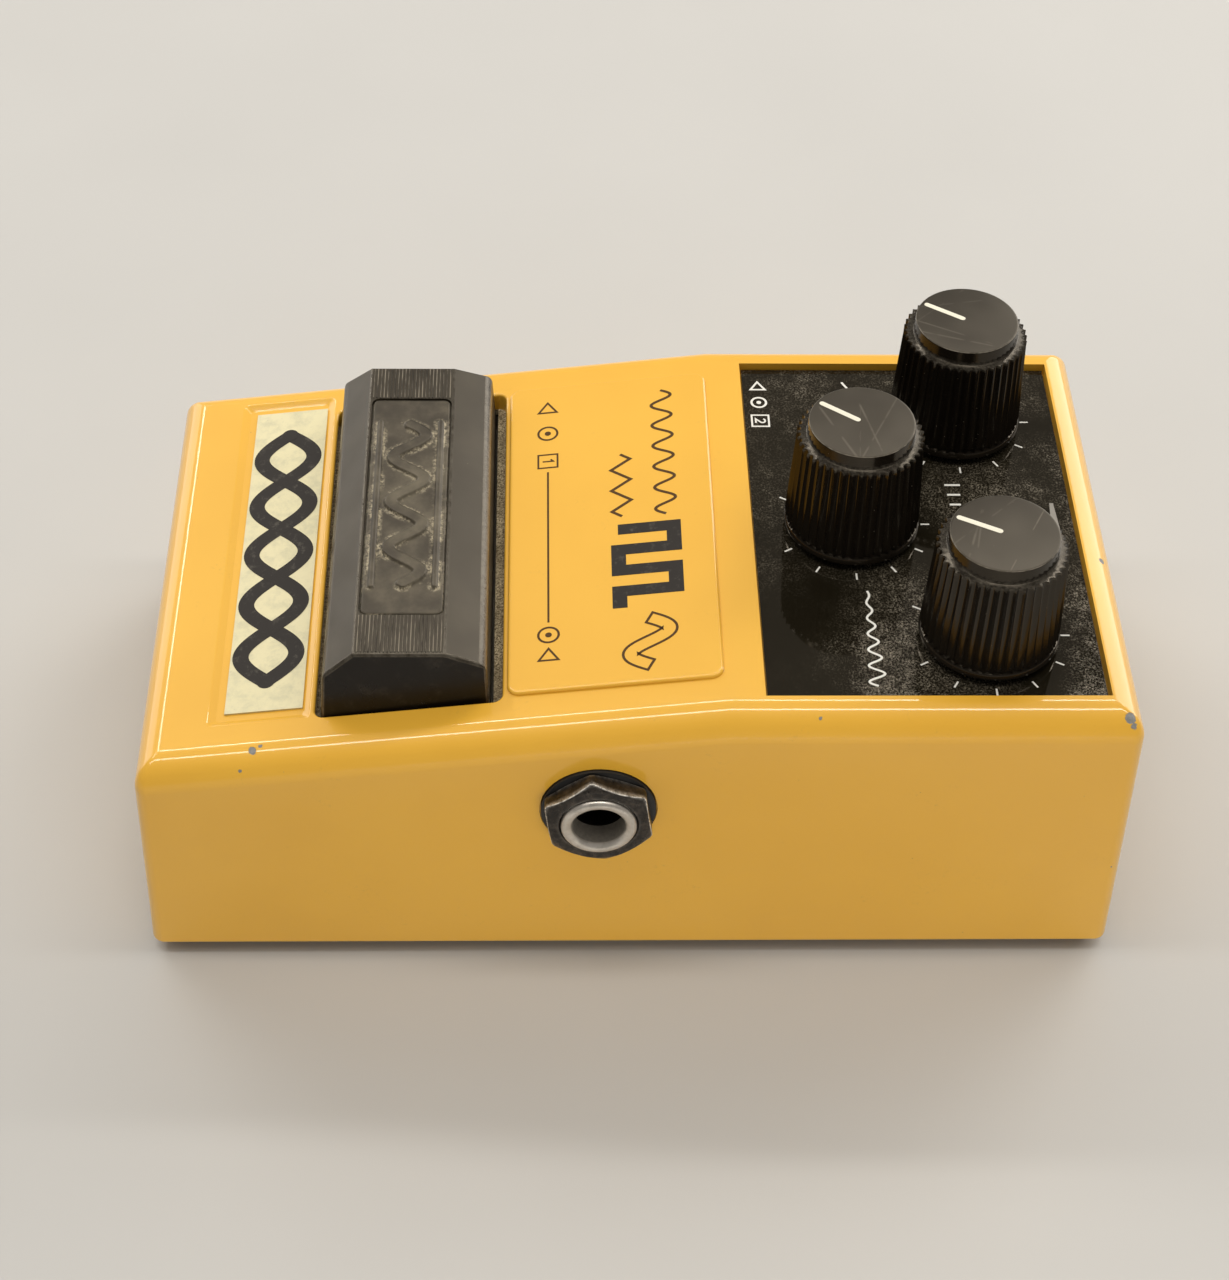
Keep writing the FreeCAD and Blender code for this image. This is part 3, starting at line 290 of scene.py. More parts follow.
def cream_label():
    """Cream strip, stained and mottled."""
    look = Look("cream_strip", roughness=0.46)
    stain = look.band(look.noise(2.6, 6, 0.7), 0.42, 0.72)
    clean = look.mix(look.noise(14, 2), (0.70, 0.64, 0.38), (0.74, 0.67, 0.42))
    spots = look.band(look.noise(0.7, 5, 0.75), 0.60, 0.78, 0.0, 0.55)
    colour = look.mix(look.times(stain, 0.55), clean, (0.46, 0.44, 0.29))
    look.set(base_color=look.mix(spots, colour, (0.33, 0.31, 0.21)))
    return look.relief(look.noise(0.6, 4), 0.008)


def dusty_rubber_with_painted_light():
    """Black rubber thickly speckled with pale grit; both tones are lifted lighter as painted light, since the
    seal sits in shade.
    """
    look = Look("dusty_rubber_with_painted_light", roughness=0.75, specular_ior_level=0.3)
    dust = look.band(look.noise(0.30, 5, 0.8), 0.42, 0.58)
    patches = look.band(look.noise(4, 4), 0.3, 0.65, 0.55, 1.0)
    grit = look.band(look.specks(0.42), 0.30, 0.14)
    loose = look.times(look.most(look.times(dust, 0.65), grit), patches)
    # Both tones are lighter than the rubber and grit really are: painted light on the shaded seal.
    look.set(base_color=look.mix(loose, (0.13, 0.092, 0.045), (0.93, 0.78, 0.50)))
    return look.relief(look.noise(0.4, 4, 0.7), 0.03)


# Radians per metre of the rubber sheet's cross pattern.
WEAVE_PITCH = 4200.0


def floor_rubber():
    """Matt rubber sheet with a fine cross pattern, scuffed where it meets the floor."""
    look = Look("floor_rubber")
    scuffs = look.band(look.noise(9, 7, 0.75), 0.50, 0.75, 0.0, 0.5)
    look.set(base_color=look.mix(scuffs, (0.020, 0.020, 0.021), (0.085, 0.080, 0.075)), roughness=0.82)
    ridges = (look.math("SINE", look.times(look.axis(name), WEAVE_PITCH)) for name in ("X", "Y"))
    weave = look.times(*ridges)
    return look.relief(weave, 0.06)


def button_plastic():
    """Satin black plastic of the footswitch button, rubbed by shoes."""
    look = Look("button_plastic", specular_ior_level=0.42, specular_tint=WARM_SHEEN)
    dust = look.band(look.noise(9, 3, 0.5), 0.35, 0.80, 0.04, 0.15)
    motes = look.band(look.specks(2.6), 0.035, 0.015, 0.0, 0.60)
    look.set(base_color=look.mix(look.most(dust, motes), (0.016, 0.013, 0.009), (0.19, 0.165, 0.12)),
             roughness=look.band(look.noise(5, 3), 0.25, 0.75, 0.32, 0.38))
    return look.relief(look.noise(0.3, 3, 0.6), 0.003)


def rubbed_edge_with_painted_highlight():
    """The button's edges, polished by shoes; their lighter tone is partly wear and partly a painted highlight
    along the edges.
    """
    return two_tone("rubbed_edge_with_painted_highlight", ((1.6, 5, 0.7), (0.35, 0.65)),
                    ((0.022, 0.018, 0.013), (0.065, 0.058, 0.046)), 0.27, ((0.5, 3, 0.6), 0.004),
                    specular_ior_level=0.6, specular_tint=WARM_SHEEN)


def button_end_plastic():
    """The button's glossier, cleaner ends; their darker base colour is painted shade."""
    return two_tone("button_end_plastic", ((3, 5, 0.7), (0.50, 0.80, 0.0, 0.12)),
                    ((0.008, 0.006, 0.004), (0.17, 0.14, 0.10)), ((4, 4), (0.25, 0.75, 0.26, 0.34)),
                    ((0.3, 3, 0.6), 0.003), specular_ior_level=0.25)


def dusty_ribs_with_painted_highlight():
    """The button's grip ribs, dusty, with their tops lighter by height: partly rubbed grey, partly a painted
    highlight.
    """
    look = Look("dusty_ribs_with_painted_highlight", specular_tint=WARM_SHEEN)
    # The lighter tone along the ribs' tops is partly rubbing and dust, partly a painted highlight.
    high = look.band(look.axis("Z"), (BUTTON_TOP - 0.03) * MM, (BUTTON_TOP + 0.10) * MM)
    worn = look.band(look.noise(1.2, 5, 0.75, vector=look.stretched((0.15, 1, 1))), 0.40, 0.62)
    dust = look.times(look.plus(look.times(high, 0.48), 0.04), worn)
    look.set(base_color=look.mix(dust, (0.010, 0.008, 0.006), (0.40, 0.35, 0.27)), roughness=0.42)
    return look.relief(look.noise(0.25, 4), 0.01)


def badge_plastic():
    """Textured badge, with dust kept by its relief and rim, as its vertices' dust attribute says."""
    look = Look("badge_plastic", specular_tint=WARM_SHEEN)
    fine = look.band(look.noise(0.5, 5, 0.8), 0.40, 0.60)
    coarse = look.band(look.noise(3.2, 3), 0.42, 0.60, 0.15, 1.0)
    broad = look.band(look.noise(5, 4, 0.6), 0.35, 0.85, 0.0, 0.22)
    dust = look.most(look.times(look.vertex_value("dust"), look.times(fine, coarse)), broad)
    look.set(base_color=look.mix(dust, (0.024, 0.020, 0.015), (0.45, 0.39, 0.27)), roughness=0.42)
    return look.relief(look.noise(0.3, 4, 0.7), 0.012)


CAP_SCRATCHES = 4


def knob_plastic(name, seed):
    """Glossy black knob, its cap crossed by faint scratches, with dust on the shoulder over the ribs."""
    look = Look(name + "_plastic", specular_ior_level=0.40, specular_tint=WARM_SHEEN)
    centre, chance = middle(name), random.Random(seed)
    height = look.axis("Z")

    def below_top(low, high):
        """Smooth step between two depths under the knob's top, in millimetres."""
        return look.band(height, (KNOB_TOP - low) * MM, (KNOB_TOP - high) * MM)

    on_cap = below_top(0.12, 0.04)
    lines = []
    for _ in range(CAP_SCRATCHES):
        turn, reach = chance.uniform(0, pi), chance.uniform(-4.5, 4.5)
        width, strength = chance.uniform(0.18, 0.45), chance.uniform(0.20, 0.55)
        across = look.times(look.less(look.axis("X"), centre.x * MM), cos(turn))
        along = look.times(look.less(look.axis("Y"), centre.y * MM), sin(turn))
        away = look.math("ABSOLUTE", look.less(look.plus(across, along), reach * MM))
        lines.append(look.band(away, width * MM, 0.01 * MM, 0.0, strength))
    scratched = look.times(look.most(*lines), look.band(look.noise(3.5, 2), 0.38, 0.58))
    haze = look.band(look.noise(11, 2, 0.5), 0.25, 0.75, 0.10, 0.24)
    from_rim = look.math("ABSOLUTE", look.less(height, (KNOB_TOP - 0.05) * MM))
    ragged = look.band(look.noise(1.2, 3), 0.35, 0.6, 0.1, 0.7)
    rim = look.times(look.band(from_rim, 0.05 * MM, 0.01 * MM), ragged)
    marks = look.most(look.times(look.most(scratched, haze), on_cap), rim)
    shoulder = look.times(below_top(2.5, 2.2), look.inverse(below_top(1.9, 1.4)))
    dust = look.times(shoulder, look.band(look.noise(0.6, 5, 0.75), 0.38, 0.66, 0.03, 0.24))
    motes = look.band(look.specks(1.6), 0.045, 0.02, 0.0, 0.6)
    pale = look.most(marks, dust, motes)
    look.set(base_color=look.mix(pale, (0.009, 0.007, 0.005), (0.19, 0.17, 0.135)),
             roughness=look.plus(look.band(pale, 0.0, 0.6, 0.17, 0.32), look.times(on_cap, 0.13)))
    return look.material


def bush_nickel():
    """Satin nickel; the bore is darker, partly from score marks and partly painted shade, and painted black
    deep inside as shade, as its vertices' bore attribute says.
    """
    look = Look("bush_nickel")
    bore = look.vertex_value("bore")
    # inside darkens the bore, partly for score marks and partly as painted shade; deep paints the far end of
    # the bore black as shade.
    inside, deep = look.band(bore, 0.1, 0.5), look.band(bore, 0.6, 0.9)
    ring = look.mix(look.band(look.noise(1.6, 6, 0.65), 0.35, 0.75), (0.74, 0.69, 0.62), (0.56, 0.52, 0.46))
    scored_and_shaded = look.mix(look.noise(0.5, 4, 0.7), (0.20, 0.18, 0.15), (0.56, 0.51, 0.44))
    look.set(base_color=look.mix(deep, look.mix(inside, ring, scored_and_shaded), (0.006, 0.005, 0.004)),
             metallic=look.times(look.less(0.88, look.times(inside, 0.50)), look.inverse(deep)),
             roughness=look.band(look.noise(0.9, 5), 0.25, 0.8, 0.28, 0.46))
    return look.relief(look.noise(0.25, 4, 0.6), 0.004)


def dark_nut():
    """Blackened nut, rubbed bright along its edges, as its vertices' wear attribute says."""
    look = Look("dark_nut")
    edge = look.band(look.vertex_value("wear"), 0.25, 0.8)
    rubbed = look.times(edge, look.band(look.noise(0.5, 5, 0.8), 0.30, 0.62))
    blotches = look.band(look.noise(1.1, 5, 0.7), 0.4, 0.7)
    tone = look.mix(blotches, (0.022, 0.019, 0.016), (0.075, 0.062, 0.050))
    look.set(base_color=look.mix(rubbed, tone, (0.90, 0.86, 0.78)),
             metallic=look.band(rubbed, 0, 1, 0.5, 0.3),
             roughness=look.band(look.noise(0.7, 5), 0.3, 0.8, 0.26, 0.50))
    return look.relief(look.noise(0.3, 4, 0.7), 0.012)


def brushed_sheet(name, colour, roughness):
    """Rolled and plated sheet steel, with faint marks along X."""
    look = Look(name, metallic=1.0)
    marks = look.noise(0.5, 5, 0.7, vector=look.stretched((0.06, 1, 1)))
    look.set(base_color=look.mix(look.noise(8, 4), colour, darkened(colour, 0.8)),
             roughness=look.band(marks, 0.3, 0.7, roughness - 0.08, roughness + 0.10))
    return look.relief(marks, 0.006)


def circuit_board():
    """Green solder mask over copper tracks."""
    look = Look("circuit_board", roughness=0.35)
    tracks = look.add("TexBrick", {"Vector": look.place, "Scale": 260.0, "Mortar Size": 0.03,
                                   "Color1": (0.03, 0.17, 0.07), "Color2": (0.04, 0.20, 0.09),
                                   "Mortar": (0.02, 0.10, 0.05)}).outputs["Color"]
    look.set(base_color=tracks, coat_weight=0.3)
    return look.relief(look.noise(0.8, 3), 0.01)


def soft_foam():
    look = Look("soft_foam", roughness=0.95)
    look.set(base_color=look.mix(look.noise(0.6, 5), (0.07, 0.07, 0.075), (0.16, 0.16, 0.17)))
    return look.relief(look.specks(0.7), 0.12)


def wire_jacket(name, colour):
    look = Look(name, roughness=0.42)
    look.set(base_color=look.mix(look.noise(3, 3), colour, darkened(colour, 0.75)))
    return look.relief(look.noise(0.7, 3), 0.01)


# ---------------- mesh tools

def mesh_of(name, points, faces):
    """A mesh from points in millimetres."""
    mesh = bpy.data.meshes.new(name)
    mesh.from_pydata([Vector(point) * MM for point in points], [], faces)
    return mesh


def finish_mesh(mesh, look, crease):
    """Merge doubled points, turn the faces outwards and shade smooth up to the crease angle."""
    form = bmesh.new()
    form.from_mesh(mesh)
    bmesh.ops.remove_doubles(form, verts=form.verts, dist=WELD)
    bmesh.ops.recalc_face_normals(form, faces=form.faces)
    form.to_mesh(mesh)
    form.free()
    mesh.shade_smooth()
    mesh.set_sharp_from_angle(angle=radians(crease))
    mesh.materials.append(look)


def in_scene(name, data):
    """An object in the scene from its mesh, camera or light."""
    made = bpy.data.objects.new(name, data)
    bpy.context.scene.collection.objects.link(made)
    return made


def riding(mesh, body, replaced=None):
    """A piece of a mesh's name, riding on a CAD body, perhaps in the place of a CAD node."""
    piece = in_scene(mesh.name, mesh)
    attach(piece, body)
    if replaced:
        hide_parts(replaced)
    return piece


def new_piece(name, body, look, form, replaced=None, crease=32):
    """A closed piece from a form, its points and faces."""
    mesh = mesh_of(name, *form)
    finish_mesh(mesh, look, crease)
    return riding(mesh, body, replaced)


def tube(rings, around=False):
    """Form through rings of equally many points, joined end to end if around, else capped at both ends."""
    steps, count = len(rings[0]), len(rings)
    points = [point for ring in rings for point in ring]
    faces = []
    for ring in range(count if around else count - 1):
        here, there = ring * steps, (ring + 1) % count * steps
        for step in range(steps):
            after = (step + 1) % steps
            faces.append((here + step, here + after, there + after, there + step))
    if not around:
        faces.append(tuple(reversed(range(steps))))
        faces.append(tuple(range((count - 1) * steps, count * steps)))
    return points, faces


def turned(profile, steps, place, around=False, radius_at=None):
    """Lathe form about local Z through (radius, height) entries; radius_at may change a radius."""
    rings = []
    for index, (radius, height) in enumerate(profile):
        ring = []
        for step in range(steps):
            angle = tau * step / steps
            reach = radius_at(index, radius, angle) if radius_at else radius
            ring.append(place @ Vector((reach * cos(angle), reach * sin(angle), height)))
        rings.append(ring)
    return tube(rings, around)


def several(forms):
    """Join (points, faces) forms into one."""
    points, faces = [], []
    for more_points, more_faces in forms:
        start = len(points)
        points += list(more_points)
        faces += [tuple(start + index for index in face) for face in more_faces]
    return points, faces


def slab(outline, to_space, bottom, top):
    """Closed slab over a flat outline of (across, along) points."""
    return tube([[to_space(x, y, height) for x, y in outline] for height in (bottom, top)])


def stroke(path, width, closed=False):
    """The two edges of a mitred stroke of a width along a path."""
    count = len(path)
    path = [Vector(point) for point in path]
    left, right = [], []
    for index, here in enumerate(path):
        before = path[index - 1] if closed or index else None
        after = path[(index + 1) % count] if closed or index < count - 1 else None
        into = (here - before).normalized() if before is not None else (after - here).normalized()
        out = (after - here).normalized() if after is not None else into
        along = (into + out).normalized()
        across = Vector((-along.y, along.x))
        reach = width / 2 / max(along.dot(into), 0.4)
        left.append(here + across * reach)
        right.append(here - across * reach)
    return left, right


def printed(path, width, to_space, height, closed=False):
    """A thin raised line of ink along a path, as a closed form."""
    top = height + INK_THICKNESS
    rings = [[to_space(edge.x, edge.y, level)
              for edge, level in ((near, height), (near, top), (far, top), (far, height))]
             for near, far in zip(*stroke(path, width, closed))]
    return tube(rings, closed)


def arc(centre, radius, start=0, end=360, steps=32):
    """Points of an arc, in degrees; a full circle leaves out its last point."""
    count = steps if end - start >= 360 else steps + 1
    angles = [radians(start + (end - start) * step / steps) for step in range(count)]
    return [(centre[0] + radius * cos(angle), centre[1] + radius * sin(angle)) for angle in angles]


def wave(start, end, level, rise, periods, steps=20, phase=0.0):
    """A sine line from start to end. rise is its height, or a function of the share of the way."""
    count = int(periods * steps)
    path = []
    for step in range(count + 1):
        share = step / count
        height = rise(share) if callable(rise) else rise
        angle = tau * (periods * share + phase)
        path.append((start + (end - start) * share, level + height * sin(angle)))
    return path


def zigzag(start, end, level, rise, periods):
    """A triangle wave from start to end."""
    quarter = (end - start) / periods / 4
    path = [(start, level)]
    for turn in range(2 * periods):
        path.append((start + quarter * (2 * turn + 1), level + (rise if turn % 2 == 0 else -rise)))
    return path + [(end, level)]


# ---------------- printing

def triangle(tip, along, side, to_space, height):
    """Hollow arrow head pointing to -X."""
    foot = tip + side * 0.8
    path = [(tip, along), (foot, along - side / 2), (foot, along + side / 2)]
    return printed(path, 0.28, to_space, height, closed=True)


def plug_sign(x, along, size, to_space, height):
    """Ring with a dot, the sign for a jack."""
    return several([printed(arc((x, along), size), 0.3, to_space, height, closed=True),
                    slab(arc((x, along), size * 0.33, steps=16), to_space, height, height + INK_THICKNESS)])


def numeral_box(x, along, half, numeral, to_space, height):
    """A number in a square box."""
    box = [(x + half * a, along + half * b) for a, b in ((-1, -1), (1, -1), (1, 1), (-1, 1))]
    r = half * 0.42
    foot = along - r * 1.3
    figures = {
        1: [(x - r * 0.6, along + r * 0.7), (x + r * 0.1, along + r * 1.3), (x + r * 0.1, foot)],
        2: arc((x, along + r * 0.55), r * 0.8, 160, -30, 10) + [(x - r * 0.8, foot), (x + r * 0.9, foot)],
    }
    return several([printed(box, 0.25, to_space, height, closed=True),
                    printed(figures[numeral], 0.24, to_space, height)])


def label_print():
    """Bold generic pattern on the cream strip: two interlaced waves."""
    low, high = corners("front_label")
    level, along, margin = -0.19, -58.05, 5.0
    ends = low.x + margin, high.x - margin
    for index, phase in enumerate((0.0, 0.5)):
        strand = printed(wave(*ends, along, 3.6, 2.5, 48, phase), 2.1, on_slope, level + index * 0.01)
        new_piece("label_print_wave_%d" % (index + 1), "case", INK_CHARCOAL, strand)
    dots = [slab(arc((x, along), 1.15), on_slope, level, level + 2 * INK_THICKNESS) for x in ends]
    new_piece("label_print_dots", "case", INK_CHARCOAL, several(dots))


def panel_print():
    """Signal flow and wave signs on the raised panel."""
    level, flow = 0.505, -22.05
    ground = on_slope, level
    thin = [triangle(-25.6, flow, 2.5, *ground), plug_sign(-19.3, flow, 1.3, *ground),
            numeral_box(-13.7, flow, 1.3, 1, *ground), printed([(-11.5, flow), (16.7, flow)], 0.26, *ground),
            plug_sign(18.9, flow, 1.3, *ground), triangle(21.3, flow, 2.5, *ground),
            printed(wave(-26.1, -1.4, -6.5, 1.35, 6), 0.42, *ground),
            printed(zigzag(-13.7, -1.6, -12.3, 1.3, 3), 0.42, *ground)]
    new_piece("panel_print_thin", "case", INK_BROWN, several(thin))
    low, high, start, width = -12.9, -5.6, 0.9, 3.8
    pulses = []
    for pulse in range(2):
        rise = start + 2 * width * pulse
        pulses += [(rise, low), (rise, high), (rise + width, high), (rise + width, low)]
    pulses.append((15.3, low))
    new_piece("panel_print_pulses", "case", INK_CHARCOAL, printed(pulses, 1.9, *ground))
    left, right = stroke(wave(17.4, 25.6, -9.25, 2.5, 1, 40), 1.9)
    new_piece("panel_print_swell", "case", INK_BROWN, printed(left + right[::-1], 0.34, *ground, closed=True))


def plate_print():
    """White scales round the knobs and small signs on the control plate."""
    level = 0.005
    ground = on_plate, level
    white = []
    for name in KNOB_NAMES:
        centre = middle(name + "_knob").xy
        for tick in range(11):
            angle = radians(-120 - 30 * tick)
            out = Vector((cos(angle), sin(angle)))
            ends = [centre + out * (SCALE_RADIUS + reach) for reach in TICK_ENDS]
            white.append(printed(ends, 0.24, *ground))
    along, line = 29.6, 0.3
    swelling = wave(12.4, 29.0, along, lambda share: 0.15 + 0.95 * share, 6)
    quickening = [(-28.6 + 16.6 * share, along + sin(tau * (1.2 * share + 4.4 * share ** 2)))
                  for share in (step / 150 for step in range(151))]
    white += [printed(path, line, *ground) for path in (swelling, quickening)]
    for bar in range(9):
        x, tall = -7.6 + 1.9 * bar, 1.05 * 0.84 ** bar
        white.append(printed([(x, 42.7 - tall), (x, 42.7 + tall)], 0.34, *ground))
    flow = 17.9
    white += [triangle(-28.6, flow, 2.0, *ground), plug_sign(-24.3, flow, 1.0, *ground),
              numeral_box(-20.5, flow, 1.15, 2, *ground)]
    new_piece("plate_print_white", "case", INK_WHITE, several(white))
    wedge = [(-4.1, 55.2), (3.9, 54.6), (3.9, 56.1), (-4.1, 55.7)]
    new_piece("plate_print_wedge", "case", INK_GREY, slab(wedge, on_plate, level, level + INK_THICKNESS))


# ---------------- knobs

def knob(name, body, aim):
    """Knob with a smooth foot ring, ribs, a scalloped shoulder and a smooth cap with a line along aim."""
    low, high = corners(name + "_knob")
    centre = (low + high) / 2
    foot, top = low.z, high.z
    ring, shoulder, cap = 8.8, 8.12, 6.8
    ribs, depth = 44, 0.52
    ribs_foot, shoulder_top = foot + 1.4, top - 2.05
    # Radius, height and share of the ribs' depth, from the foot to the cap.
    profile = [(3.3, foot, 0), (ring - 0.35, foot, 0), (ring, foot + 0.3, 0), (ring, foot + 0.9, 0),
               (ring - 0.12, foot + 1.1, 0), (ring - 0.45, foot + 1.2, 0.15), (ring - 0.08, foot + 1.35, 0.9)]
    for share in (0.05, 0.25, 0.5, 0.75, 0.93):
        height = ribs_foot + (shoulder_top - ribs_foot) * share
        profile.append((ring - 0.05 - (ring - shoulder) * share, height, 1.0))
    profile += [(shoulder, shoulder_top - 0.05, 1.0), (shoulder - 0.06, shoulder_top, 1.0),
                (cap + 0.16, shoulder_top + 0.02, 0), (cap + 0.05, shoulder_top + 0.1, 0),
                (cap, shoulder_top + 0.25, 0), (cap - 0.02, top - 0.2, 0), (cap - 0.06, top - 0.08, 0),
                (cap - 0.16, top - 0.015, 0), (cap - 0.32, top, 0), (3.0, top, 0), (0.4, top, 0)]

    def ribbed(index, radius, angle):
        return radius - depth * profile[index][2] * abs(cos(ribs * angle / 2)) ** 0.8

    place = Matrix.Translation((centre.x, centre.y, 0))
    form = turned([entry[:2] for entry in profile], ribs * 8, place, radius_at=ribbed)
    new_piece(name + "_knob_form", body, knob_plastic(name + "_knob", abs(aim)), form,
              name + "_knob", crease=38)

    inner, outer, half = 0.3, 6.3, 0.36
    outline = arc((inner + half, 0), half, 90, 270, 6) + arc((outer - half, 0), half, -90, 90, 6)
    aimed = place @ Matrix.Rotation(radians(aim), 4, "Z")
    line = slab(outline, lambda x, y, z: aimed @ Vector((x, y, z)), top - 0.06, top + 0.03)
    new_piece(name + "_knob_line", body, INK_IVORY, line)


# ---------------- footswitch button

# The button's shell: front and rear of its top, half the top's length, the lean of its ends, its lower edge.
BUTTON_FRONT, BUTTON_REAR = -35.0, -23.75
BUTTON_HALF, BUTTON_FLARE = 27.15, 0.176
SHELL_FOOT = 36.9


def rounded_rectangle(low, high, radius, steps=4):
    """Corner arcs, anticlockwise from the lowest corner, each with steps + 1 points."""
    places = [(low.x + radius, low.y + radius, 180), (high.x - radius, low.y + radius, 270),
              (high.x - radius, high.y - radius, 0), (low.x + radius, high.y - radius, 90)]
    return [arc((x, y), radius, start, start + 90, steps) for x, y, start in places]


def button_shell():
    """Faceted shell of the footswitch button, with the recess that holds the badge."""
    top = BUTTON_TOP
    badge_low, badge_high = corners("button_badge")
    # Front and rear outline of the shell: Y and height, from the front of the top round to its rear.
    levels = [(BUTTON_FRONT, top), (-38.9, top - 3.25), (-39.3, SHELL_FOOT), (-18.25, SHELL_FOOT),
              (-18.66, top - 1.8), (BUTTON_REAR, top)]
    form = bmesh.new()

    def point(x, y, z):
        return form.verts.new(Vector((x, y, z)) * MM)

    left, right = [[point(side * (BUTTON_HALF + (top - z) * BUTTON_FLARE), y, z) for y, z in levels]
                   for side in (-1, 1)]
    margin = Vector((0.2, 0.2, 0))
    bends = rounded_rectangle(badge_low - margin, badge_high + margin, 1.1)
    rim, floor = [[[point(x, y, z) for x, y in bend] for bend in bends] for z in (top, badge_low.z)]
    for index in range(1, len(levels)):
        form.faces.new((left[index - 1], left[index], right[index], right[index - 1]))
    for end in (left, right[::-1]):
        form.faces.new(end).material_index = 1
    outer = [left[0], right[0], right[5], left[5]]
    for index in range(4):
        after = (index + 1) % 4
        form.faces.new((outer[index], outer[after], *reversed(rim[after][:3]), *reversed(rim[index][2:])))
    upper, lower = sum(rim, []), sum(floor, [])
    for index in range(len(upper)):
        after = (index + 1) % len(upper)
        form.faces.new((upper[index], upper[after], lower[after], lower[index]))
    form.faces.new(lower)
    bmesh.ops.recalc_face_normals(form, faces=form.faces)

    # Each edge's rounding in millimetres; the lowest edge of each end stays sharp.
    weight = form.edges.layers.float.new("bevel_weight_edge")
    for side in (left, right):
        for first, second in zip(side, side[1:] + side[:1]):
            form.edges.get((first, second))[weight] = 0.38
        form.edges.get((side[2], side[3]))[weight] = 0.0
    for index, radius in ((0, 0.18), (1, 0.7), (4, 1.0), (5, 0.18)):
        form.edges.get((left[index], right[index]))[weight] = radius
    mesh = bpy.data.meshes.new("button_shell")
    form.to_mesh(mesh)
    form.free()
    for look in (BUTTON_BLACK, BUTTON_END, BUTTON_EDGE):
        mesh.materials.append(look)
    shell = riding(mesh, "button", "footswitch_button")
    bevel = shell.modifiers.new("rounded_edges", "BEVEL")
    # The bevels take the third material, whose lighter tone is partly a painted highlight.
    bevel.limit_method, bevel.width, bevel.segments, bevel.material = "WEIGHT", 1.0 * MM, 4, 2
    smooth_by_angle(shell, 40)


def button_fittings():
    """The button's flange, a frame under the sloped top, with its grip ribs and its guide posts."""
    low, high = corners("footswitch_button")
    badge_low, badge_high = corners("button_badge")
    outer = sum(rounded_rectangle(low, Vector((high.x, -15.4)), 1.0), [])
    inner = sum(rounded_rectangle(Vector((-25.5, -36.6)), Vector((25.5, -22.1)), 1.0), [])
    bottom, top = -5.5, -3.9
    rings = [[on_slope(x, (y - BREAK.y) / ALONG.y, height) for x, y in line]
             for line, height in ((outer, bottom), (outer, top), (inner, top), (inner, bottom))]
    new_piece("button_flange", "button", BUTTON_BLACK, tube(rings, around=True))

    ribs, margin = 23, 0.25
    pitch = (BUTTON_REAR - BUTTON_FRONT - 2 * margin) / ribs
    section = []
    for rib in range(ribs):
        start = BUTTON_FRONT + margin + rib * pitch
        for share, height in ((0, -0.10), (0.25, -0.08), (0.40, 0.12), (0.60, 0.12), (0.78, -0.08)):
            section.append((start + pitch * share, BUTTON_TOP + height))
    section += [(section[-1][0] + 0.05, BUTTON_TOP - 0.3), (section[0][0], BUTTON_TOP - 0.3)]
    forms = []
    for near, far in ((badge_high.x + 0.3, BUTTON_HALF - 0.45), (badge_low.x - 0.3, 0.45 - BUTTON_HALF)):
        forms.append(tube([[Vector((x, y, z)) for y, z in section] for x in (near, far)]))
    new_piece("button_grip_ribs", "button", RIBS_DUST_AND_HIGHLIGHT, several(forms), crease=20)

    posts_top, steps = SHELL_FOOT + 0.2, 32
    side_post = [(1.5, low.z), (2.0, low.z + 0.5), (2.0, posts_top)]
    middle_post = [(2.6, 34.3), (3.0, 34.6), (3.0, posts_top)]
    posts = [turned(profile, steps, Matrix.Translation((x, SPRING_Y, 0)))
             for x, profile in [(x, side_post) for x in SPRING_SIDES] + [(0, middle_post)]]
    new_piece("button_guide_posts", "button", MOULDED_BLACK, several(posts))


